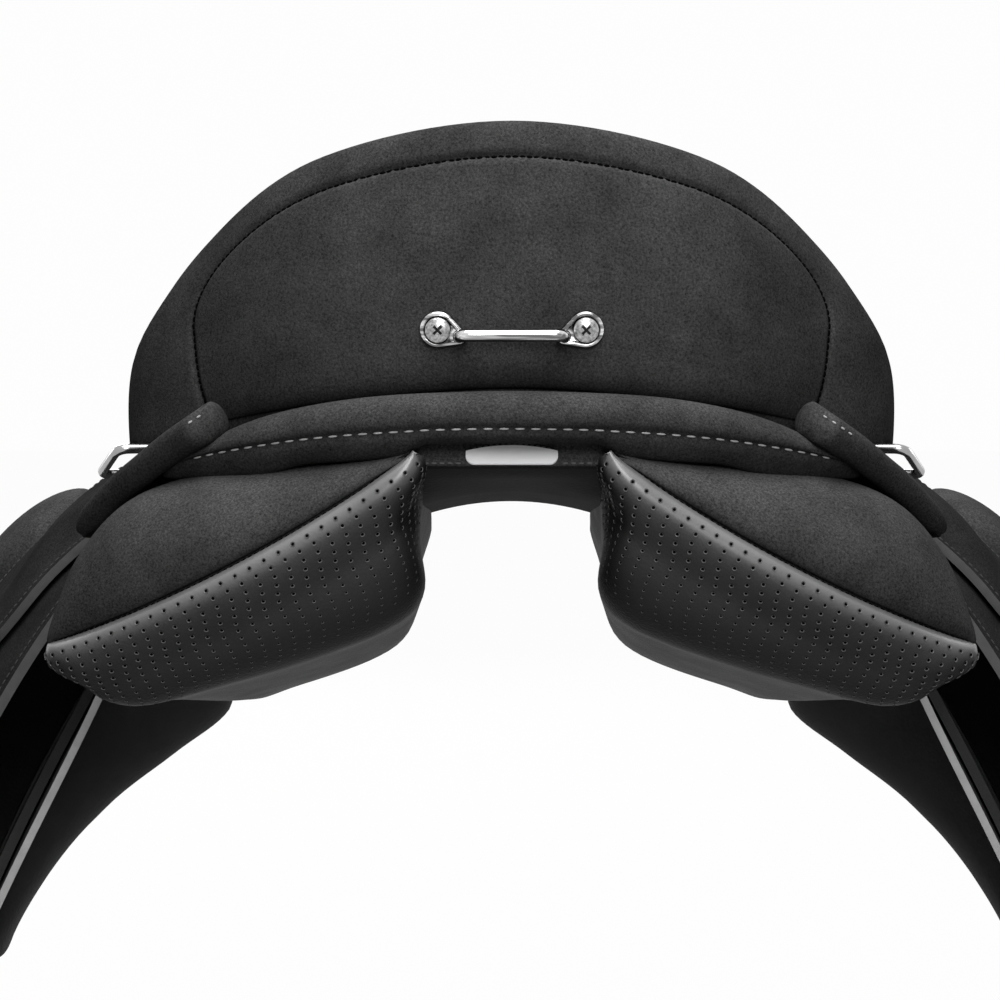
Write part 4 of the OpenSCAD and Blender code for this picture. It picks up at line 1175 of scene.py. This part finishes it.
def skirt_face(v, k, d):
    """Point of the skirt at shares down and across it, off its middle by d."""
    y = across(*SKIRT_Y, k, foot(v, 0.55, 0.4))
    u = SKIRT_LONG * v
    fore = ease((y + 50) / 40)
    rise = SKIRT_OFF + 11 * ease(u / 0.05) * fore - 12 * ease((u - 0.1) / 0.24) * fore
    return flap_point(y, u, rise + d)


def skirt():
    welt = rod(flap_point(-56, 0, SKIRT_OFF), flap_point(102, 0, SKIRT_OFF), WELT_R)
    return joined(leaf(skirt_face, 56, SKIRT_T), welt)


def knee_block():
    v, k = unit_grid(44, 40, 0.6)
    k = lerp(k, slow_ends(k), 0.6)
    s = np.abs(2 * v - 1)
    half = lerp(*BLOCK_HALF, v) * np.sqrt(np.maximum(0.12, 1 - s ** 5))
    y = lerp(*BLOCK_Y, ease(1.4 * v)) + half * (2 * k - 1)
    u = lerp(*BLOCK_U, v)
    swell = np.sqrt(np.clip(1 - np.abs(2 * k - 1) ** 3, 0, 1) * np.clip(1 - s ** 3, 0, 1))
    rise = BLOCK_EDGE + (BLOCK_H * (1 - 0.35 * v) - BLOCK_EDGE) * swell
    base = FLAP_T / 2 + LAY_GAP
    return slab(flap_point(y, u, base + rise), flap_point(y, u, np.full(y.shape, base)))


def sweat_point(y, u, d):
    y, u, d = matched(y, u, d)
    t = fore_share(y)
    rear = [[164, 62], [166, 8], [250, -100], [276, FLAP_LOW + 10]]
    front = [[114, 46], [205, 30], [262, -90], [270, FLAP_LOW + 10]]
    return off_curve([between(a, b, t) for a, b in zip(rear, front)], u, y, d)


def sweat_flap():
    v, k = unit_grid(64, 60)
    y = leaf_y(v, k, front=150, swing=50, turn=120, start=0.76, narrow=0.36)
    return slab(sweat_point(y, v, SWEAT_T), sweat_point(y, v, 0))


def fore_pad():
    v, k = unit_grid(48, 40, 0.6)
    u = lerp(FORE_US[0], FORE_US[-1], v)
    swell = 0.25 + 0.75 * np.sqrt(1 - np.abs(2 * k - 1) ** 3)
    thick = np.maximum(4, keyed(FORE_US, FORE_THICK, u) * swell)
    y = lerp(*FORE_Y, k)
    return slab(sweat_point(y, u, -2 * LAY_GAP), sweat_point(y, u, -2 * LAY_GAP - thick))


def knee_roll():
    v, k = unit_grid(44, 36, 0.6)
    y = lerp(*KNEE_Y, k)
    u = lerp(*KNEE_U, v)
    swell = 0.1 + 0.8 * np.sqrt((1 - np.abs(2 * k - 1) ** 3) * (1 - np.abs(2 * v - 1) ** 6))
    inner = sweat_point(y, u, SWEAT_T + LAY_GAP)
    outer = flap_point(y, u + 0.15, -FLAP_T / 2)
    return slab(lerp(inner, outer, swell[..., None]), inner)


LINING_BACK = -233.2
LINING_FRONT = 178
LINING_T = 2.5


def lining():
    v, k = unit_grid(60, 24, 0)
    y = lerp(LINING_BACK + 1, LINING_FRONT, v)
    s = 2 * k - 1
    stations = [LINING_BACK, -170, -60, 40, 120, LINING_FRONT]
    z = keyed(stations, [110, 100, 90, 90, 106, 116], y) + 3 * ease((-222 - y) / 10)
    z = z - 7 * s * s * ease((y - LINING_BACK) / 45)
    x = -s * (GULLET_HW + 2 * ease((80 - y) / 60) - 3 * ease((y - 80) / 60))
    return slab(xyz(x, y, z), xyz(x, y, z - LINING_T))


ARCH_R = 74
ARCH_TURN = math.radians(47)
ARCH_BASE = 61.2
POMMEL_FOOT = 177.0
POMMEL_T = 3.0


def pommel():
    v, k = unit_grid(20, 60, 0)
    s = 1 - 2 * k
    e = half_curve(EDGE, len(EDGE) - 1 - 1.25 * np.abs(s))
    p = xyz(np.sign(s) * e[..., 0] * 0.96, e[..., 1] - 3.2, e[..., 2] - 0.9)
    wide = np.abs(p[..., 0])
    knee = ARCH_R * math.cos(ARCH_TURN)
    arch = np.sqrt(np.maximum(0, ARCH_R ** 2 - np.minimum(wide, ARCH_R) ** 2))
    leg = ARCH_R * math.sin(ARCH_TURN) - (wide - knee) / math.tan(ARCH_TURN)
    q = xyz(p[..., 0], POMMEL_FOOT, ARCH_BASE + np.where(wide < knee, arch, leg))
    grid = lerp(p, q, v[..., None]) + xyz(0, 5 * v * (1 - v), 0)
    return slab(grid + np.array([0, POMMEL_T, 0]), grid)


STRIP_LEAN = math.radians(24)
STRIP_OUT = np.array([0, -math.cos(STRIP_LEAN), math.sin(STRIP_LEAN)])
STRIP_UP = np.array([0, math.sin(STRIP_LEAN), math.cos(STRIP_LEAN)])
STRIP_FOOT = np.array([0, -233, 110.5])
STRIP_H = 15
STRIP_HW = 41
STRIP_T = 3


def strip():
    v, k = unit_grid(8, 60, 0)
    grid = STRIP_FOOT + xyz(lerp(-STRIP_HW, STRIP_HW, k), 0, 0) + (STRIP_H * v)[..., None] * STRIP_UP
    return slab(grid + STRIP_T * STRIP_OUT, grid)


leaves = [
    ("flap", "flap_leather", flap(), "flap_body", [shaded_suede, dark_edge], "suede", 1.3, None),
    ("skirt", "skirt_leather", skirt(), "skirt_body", [shaded_suede, dark_edge], "suede", 1.2, None),
    ("knee_block", "knee_block_pad", knee_block(), "flap_body", [black_suede], "suede", 1.2, 0.9),
    ("sweat_flap", "sweat_leather", sweat_flap(), "saddle", [lit_leather, cut_edge], "smooth_leather",
     0.8, None),
    ("panel_fore", "fore_pad", fore_pad(), "saddle", [lit_leather], "smooth_leather", 1.5, 0.8),
    ("knee_roll", "knee_roll_pad", knee_roll(), "saddle", [lit_leather], "smooth_leather", 1.0, 0.8),
]
for node, name, shape, body, paints, slot, bevel, fill in leaves:
    for side, sign in SIDES:
        rides = body if body == "saddle" else f"{body}_{side}"
        piece(f"{name}_{side}", for_side(shape, sign), rides, paints, [f"{node}_{side}"], bevel)

piece("channel_lining", lining(), "saddle", [shaded_lining], ["gullet_lining"], 0.8)
piece("pommel_leather", pommel(), "saddle", [black_suede], ["pommel_facing"], 0.8)
piece("channel_strip", strip(), "saddle", [black_suede], ["gullet_strip"], 0.8)


# Stitches and perforations: one small shape repeated along prepared points
def node_group(name, sockets):
    """New tree with named inputs; returns it, its input sockets and its end."""
    tree = bpy.data.node_groups.new(name, "GeometryNodeTree")
    tree.interface.new_socket("Geometry", in_out="INPUT", socket_type="NodeSocketGeometry")
    for label, kind in sockets:
        tree.interface.new_socket(label, in_out="INPUT", socket_type="NodeSocket" + kind)
    tree.interface.new_socket("Geometry", in_out="OUTPUT", socket_type="NodeSocketGeometry")
    return tree, tree.nodes.new("NodeGroupInput").outputs, tree.nodes.new("NodeGroupOutput")


def attribute(tree, label, kind):
    """Socket with the points' attribute of that name."""
    made = wired(tree, "GeometryNodeInputNamedAttribute", {"data_type": kind}, {"Name": label})
    return made.outputs["Attribute"]


def on_points(tree, start, shape, scale=(1.0, 1.0, 1.0)):
    """Sets the shape on the points, x along the row and z off the surface, as one mesh."""
    along, up = (attribute(tree, label, "FLOAT_VECTOR") for label in ("along", "up"))
    axes = {"primary_axis": "X", "secondary_axis": "Z"}
    turn = wired(tree, "FunctionNodeAxesToRotation", axes, {0: along, 1: up})
    spread = wired(tree, "GeometryNodeInstanceOnPoints", None, {
        "Points": start["Geometry"], "Instance": shape, "Rotation": turn, "Scale": scale})
    return wired(tree, "GeometryNodeRealizeInstances", None, {0: spread})


def coated(tree, shape, paint):
    return wired(tree, "GeometryNodeSetMaterial", None, {"Geometry": shape, "Material": paint})


def stitch_tree():
    sockets = [("Length", "Float"), ("Width", "Float"), ("Thread", "Material")]
    tree, start, end = node_group("stitch_row", sockets)
    ball = wired(tree, "GeometryNodeMeshUVSphere", None, {"Segments": 8, "Rings": 5, "Radius": 0.5})
    sizes = {0: start["Length"], 1: start["Width"], 2: start["Width"]}
    size = wired(tree, "ShaderNodeCombineXYZ", None, sizes)
    shape = wired(tree, "GeometryNodeTransform", None, {"Geometry": ball, "Scale": size})
    smooth = wired(tree, "GeometryNodeSetShadeSmooth", None, {0: on_points(tree, start, shape)})
    tree.links.new(coated(tree, smooth, start["Thread"]).outputs[0], end.inputs[0])
    return tree


def hole_tree():
    sockets = [("Radius", "Float"), ("Rim", "Float"), ("Skin", "Material"), ("Inside", "Material")]
    tree, start, end = node_group("hole_field", sockets)
    times = {"operation": "MULTIPLY"}
    wide = wired(tree, "ShaderNodeMath", times, {0: start["Radius"], 1: 1.6})
    cone = wired(tree, "GeometryNodeMeshCone", {"fill_type": "NONE"}, {
        "Vertices": 10, "Side Segments": 1, "Radius Top": wide, "Radius Bottom": start["Radius"],
        "Depth": start["Rim"]})
    rim = wired(tree, "GeometryNodeFlipFaces", None, {"Mesh": cone})
    # Painted shade: a dark disc inside the rim for the hole's depth
    disc = wired(tree, "GeometryNodeMeshCircle", {"fill_type": "NGON"}, {
        "Vertices": 10, "Radius": start["Radius"]})
    low = wired(tree, "ShaderNodeMath", times, {0: start["Rim"], 1: 0.3})
    lift = wired(tree, "ShaderNodeCombineXYZ", None, {2: low})
    dark = wired(tree, "GeometryNodeTransform", None, {"Geometry": disc, "Translation": lift})
    both = wired(tree, "GeometryNodeJoinGeometry")
    for made in (coated(tree, rim, start["Skin"]), coated(tree, dark, start["Inside"])):
        tree.links.new(made.outputs[0], both.inputs[0])
    solid = on_points(tree, start, both, attribute(tree, "size", "FLOAT"))
    tree.links.new(solid.outputs[0], end.inputs[0])
    return tree


def repeated(name, tree, places, along, up, values, body, size=None):
    """Repeats the tree's shape at the places, in mm, as one plain mesh that rides on a body."""
    mesh = mesh_of(name, places, [])
    for label, ways in (("along", along), ("up", up)):
        mesh.attributes.new(label, "FLOAT_VECTOR", "POINT").data.foreach_set("vector", ways.ravel())
    if size is not None:
        mark(mesh, "size", size)
    obj = placed(name, mesh)
    rows_of = obj.modifiers.new("repeat", "NODES")
    rows_of.node_group = tree
    for item in tree.interface.items_tree:
        if item.in_out == "INPUT" and item.name in values:
            rows_of[item.identifier] = values[item.name]
    baked(obj)
    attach(obj, body)
    return obj


def spaced(line, pitch):
    """Points at an even pitch along a line, its directions there and the points' shares of its length."""
    run = run_of(line)
    count = int(run[-1] // pitch)
    at = (np.arange(count) + 0.5) * run[-1] / count
    along = unit(sampled(at + 0.5, run, line) - sampled(at - 0.5, run, line))
    return sampled(at, run, line), along, at / run[-1]


stitches = stitch_tree()
holes = hole_tree()


def stitched(name, line, ups, pitch, length, width, thread, body="saddle"):
    """Row of stitches along a line; ups are the directions off the surface at the line's points."""
    places, along, share = spaced(line, pitch)
    up = unit(sampled(share, np.linspace(0, 1, len(line)), ups))
    values = {"Length": length * MM, "Width": width * MM, "Thread": thread}
    return repeated(name, stitches, places, along, up, values, body)


# Black thread in the cantle's seam
seam_line, seam_up = pad_seam(120)
stitched("cantle_seam", seam_line - seam_up * 0.4, seam_up, pitch=3.0, length=2.8, width=1.45,
         thread=dark_thread)

# Pale topstitch along the collar
x = np.linspace(-137, 137, 300)
stitch_line = collar_point(x, np.full(x.shape, COLLAR_STITCH), 0.35)
inside_y, inside_z, _ = collar_mid(x)
stitched("collar_stitch", stitch_line, stitch_line - xyz(x, inside_y, inside_z), pitch=6.6, length=4.4,
         width=0.9, thread=pale_thread)

# Pale stitches at the top of the rolled edges, fewer on the left
ROLL_STITCHED = {"right": 0.245, "left": 0.143}
for side, sign in SIDES:
    v = np.linspace(0.04, ROLL_STITCHED[side], 40)
    line = on_side(roll_point(v, np.full(v.shape, 0.95), 0.25), sign)
    inside = on_side(bezier(ROLL_KEYS, v), sign)
    stitched(f"roll_stitch_{side}", line, line - inside, pitch=4.4, length=2.3, width=0.9,
             thread=pale_thread)

# Thread along the strip's lower edge on both sides of the badge, and over the badge
strip_face = STRIP_FOOT + (STRIP_T + 0.1) * STRIP_OUT
for side, sign in SIDES:
    line = strip_face + xyz(np.linspace(21, 38, 20) * sign, 0, 0) + 1.2 * STRIP_UP
    stitched(f"strip_stitch_{side}", line, np.broadcast_to(STRIP_OUT, line.shape), pitch=3.4, length=2.4,
             width=0.5, thread=grey_thread)
x = np.linspace(-17, 17, 60)
line = strip_face + xyz(x, 0, 0) + (9.9 - 0.0075 * x * x)[:, None] * STRIP_UP
stitched("badge_stitch", line, np.broadcast_to(STRIP_OUT, line.shape), pitch=2.4, length=1.7, width=0.6,
         thread=grey_thread)

# Black thread in the panels' rear seam
for side, sign in SIDES:
    line = on_side(panel[0, :SIDE_N + 1], sign) + np.array([0, -0.2, 0])
    stitched(f"panel_seam_{side}", line, np.broadcast_to([0, -1.0, 0], line.shape), pitch=3.0, length=2.4,
             width=0.8, thread=dark_thread)

# Thread along the free edges of the flaps and skirts
STITCHED_EDGES = (("flap", flap_face, FLAP_T, 0.02, 0.06), ("skirt", skirt_face, SKIRT_T, 0.035, 0.12))
for label, face, thick, inset, top in STITCHED_EDGES:
    down = np.linspace(top, 1 - inset, 120)
    v = np.concatenate([down, np.full(60, 1 - inset), down[::-1]])
    over = np.linspace(inset, 1 - inset, 62)[1:-1]
    k = np.concatenate([np.full(120, inset), over, np.full(120, 1 - inset)])
    line = face(v, k, thick / 2 + 0.15)
    off = face(v, k, thick / 2 + 1) - face(v, k, thick / 2)
    for side, sign in SIDES:
        stitched(f"{label}_stitch_{side}", on_side(line, sign), on_side(off, sign), pitch=3.6, length=2.6,
                 width=0.7, thread=deep_thread, body=f"{label}_body_{side}")

# Perforations of the facings, in staggered rows that follow the rear seam
HOLE_FIRST = 7.5
HOLE_LAST = 66
HOLE_ROW = 4.2
HOLE_PITCH = 7.0


def hole_places(grid):
    """Places of the holes, directions along their rows and off the facing, and their sizes."""
    normal = grid_normals(grid)
    run = run_of(grid[:, :SIDE_N + 1])
    found = []
    for n, s in enumerate(np.arange(HOLE_FIRST, HOLE_LAST, HOLE_ROW)):
        if s > run[-6].min():
            break
        line = np.array([sampled(s, run[:, j], grid[:, j]) for j in range(SIDE_N + 1)])
        ups = np.array([sampled(s, run[:, j], normal[:, j]) for j in range(SIDE_N + 1)])
        length = run_of(line)
        at = np.arange(9 + (n % 2) * HOLE_PITCH / 2, length[-1] - 7, HOLE_PITCH)
        here = sampled(at, length, line)
        along = unit(sampled(at + 0.5, length, line) - here)
        size = np.full(len(at), 1 - 0.5 * ease((s - 20) / 40))
        found.append((here, along, unit(sampled(at, length, ups)), size))
    return [np.concatenate(values) for values in zip(*found)]


*spot_ways, spot_size = hole_places(panel)
hole_values = {"Radius": 0.68 * MM, "Rim": 0.3 * MM, "Skin": rim_leather, "Inside": hole_shade}
for side, sign in SIDES:
    places, along, up = (on_side(values, sign) for values in spot_ways)
    repeated(f"perforation_{side}", holes, places, along, up, hole_values, "saddle",
             spot_size)


# Floor, light and camera
def white_to_camera(tree, lit, output, share, strength):
    """Shows white to camera, mirror and see-through rays, in the given share over what the light falls on."""
    path = tree.nodes.new("ShaderNodeLightPath")
    seen = Value(tree, path.outputs["Is Camera Ray"])
    for ray in ("Is Glossy Ray", "Is Transmission Ray"):
        seen = seen + Value(tree, path.outputs[ray])
    seen = seen.math("MINIMUM", seen, 1.0)
    glow = seen.node("ShaderNodeEmission", None, {"Color": (1, 1, 1, 1), "Strength": strength})
    mixed = seen.node("ShaderNodeMixShader", None, {0: seen * share, 1: lit.outputs[0], 2: glow})
    tree.links.new(mixed.socket, tree.nodes[output].inputs["Surface"])


bpy.ops.mesh.primitive_plane_add(size=16, location=(0, 0, cad_box[0][2] - 0.001))
floor = bpy.context.object
floor.name = "floor"
floor_paint, floor_shader, _ = painted("floor_paint", Base_Color=(0.4, 0.4, 0.4, 1), Roughness=0.9)
white_to_camera(floor_paint.node_tree, floor_shader, "Material Output", 0.97, 1.0)
floor.data.materials.append(floor_paint)

world = bpy.data.worlds.new("studio")
bpy.context.scene.world = world
world.use_nodes = True
sky = world.node_tree.nodes["Background"]
sky.inputs["Color"].default_value = (1, 1, 1, 1)
sky.inputs["Strength"].default_value = 0.07
white_to_camera(world.node_tree, sky, "World Output", 1.0, 0.985)


def softbox(name, place, aim, size, energy):
    """Round soft light that points at a place."""
    light = bpy.data.lights.new(name, "AREA")
    light.shape = "DISK"
    light.size = size
    light.energy = energy
    obj = placed(name, light)
    obj.location = place
    way = np.array(aim) - np.array(place)
    flat = math.hypot(way[0], way[1])
    obj.rotation_euler = (math.atan2(flat, -way[2]), 0, math.atan2(-way[0], way[1]) if flat > 1e-6 else 0)


softbox("top_light", (0.0, -0.7, 1.7), aim=(0, -0.1, 0.1), size=1.6, energy=36)
softbox("camera_light", (0.3, -2.6, 1.2), aim=(0, 0, 0.1), size=1.4, energy=36)
softbox("front_light", (-0.3, 2.6, 1.0), aim=(0, 0, 0.1), size=1.4, energy=40)
for side, sign in SIDES:
    softbox(f"side_light_{side}", (2.2 * sign, 1.3, 0.6), aim=(0, 0, 0), size=1.8, energy=24)

CAMERA_DIP = math.radians(3)
CAMERA_FAR = 2.2
CAMERA_AIM = np.array([-5, -250, 98]) * MM
camera_data = bpy.data.cameras.new("photo_camera")
camera_data.sensor_width = 36
camera_data.lens = 188.6
camera = placed("photo_camera", camera_data)
camera.location = CAMERA_AIM - CAMERA_FAR * np.array([0, math.cos(CAMERA_DIP), -math.sin(CAMERA_DIP)])
camera.rotation_euler = (math.pi / 2 - CAMERA_DIP, 0, 0)
bpy.context.scene.camera = camera
bpy.context.scene.view_settings.view_transform = "Standard"
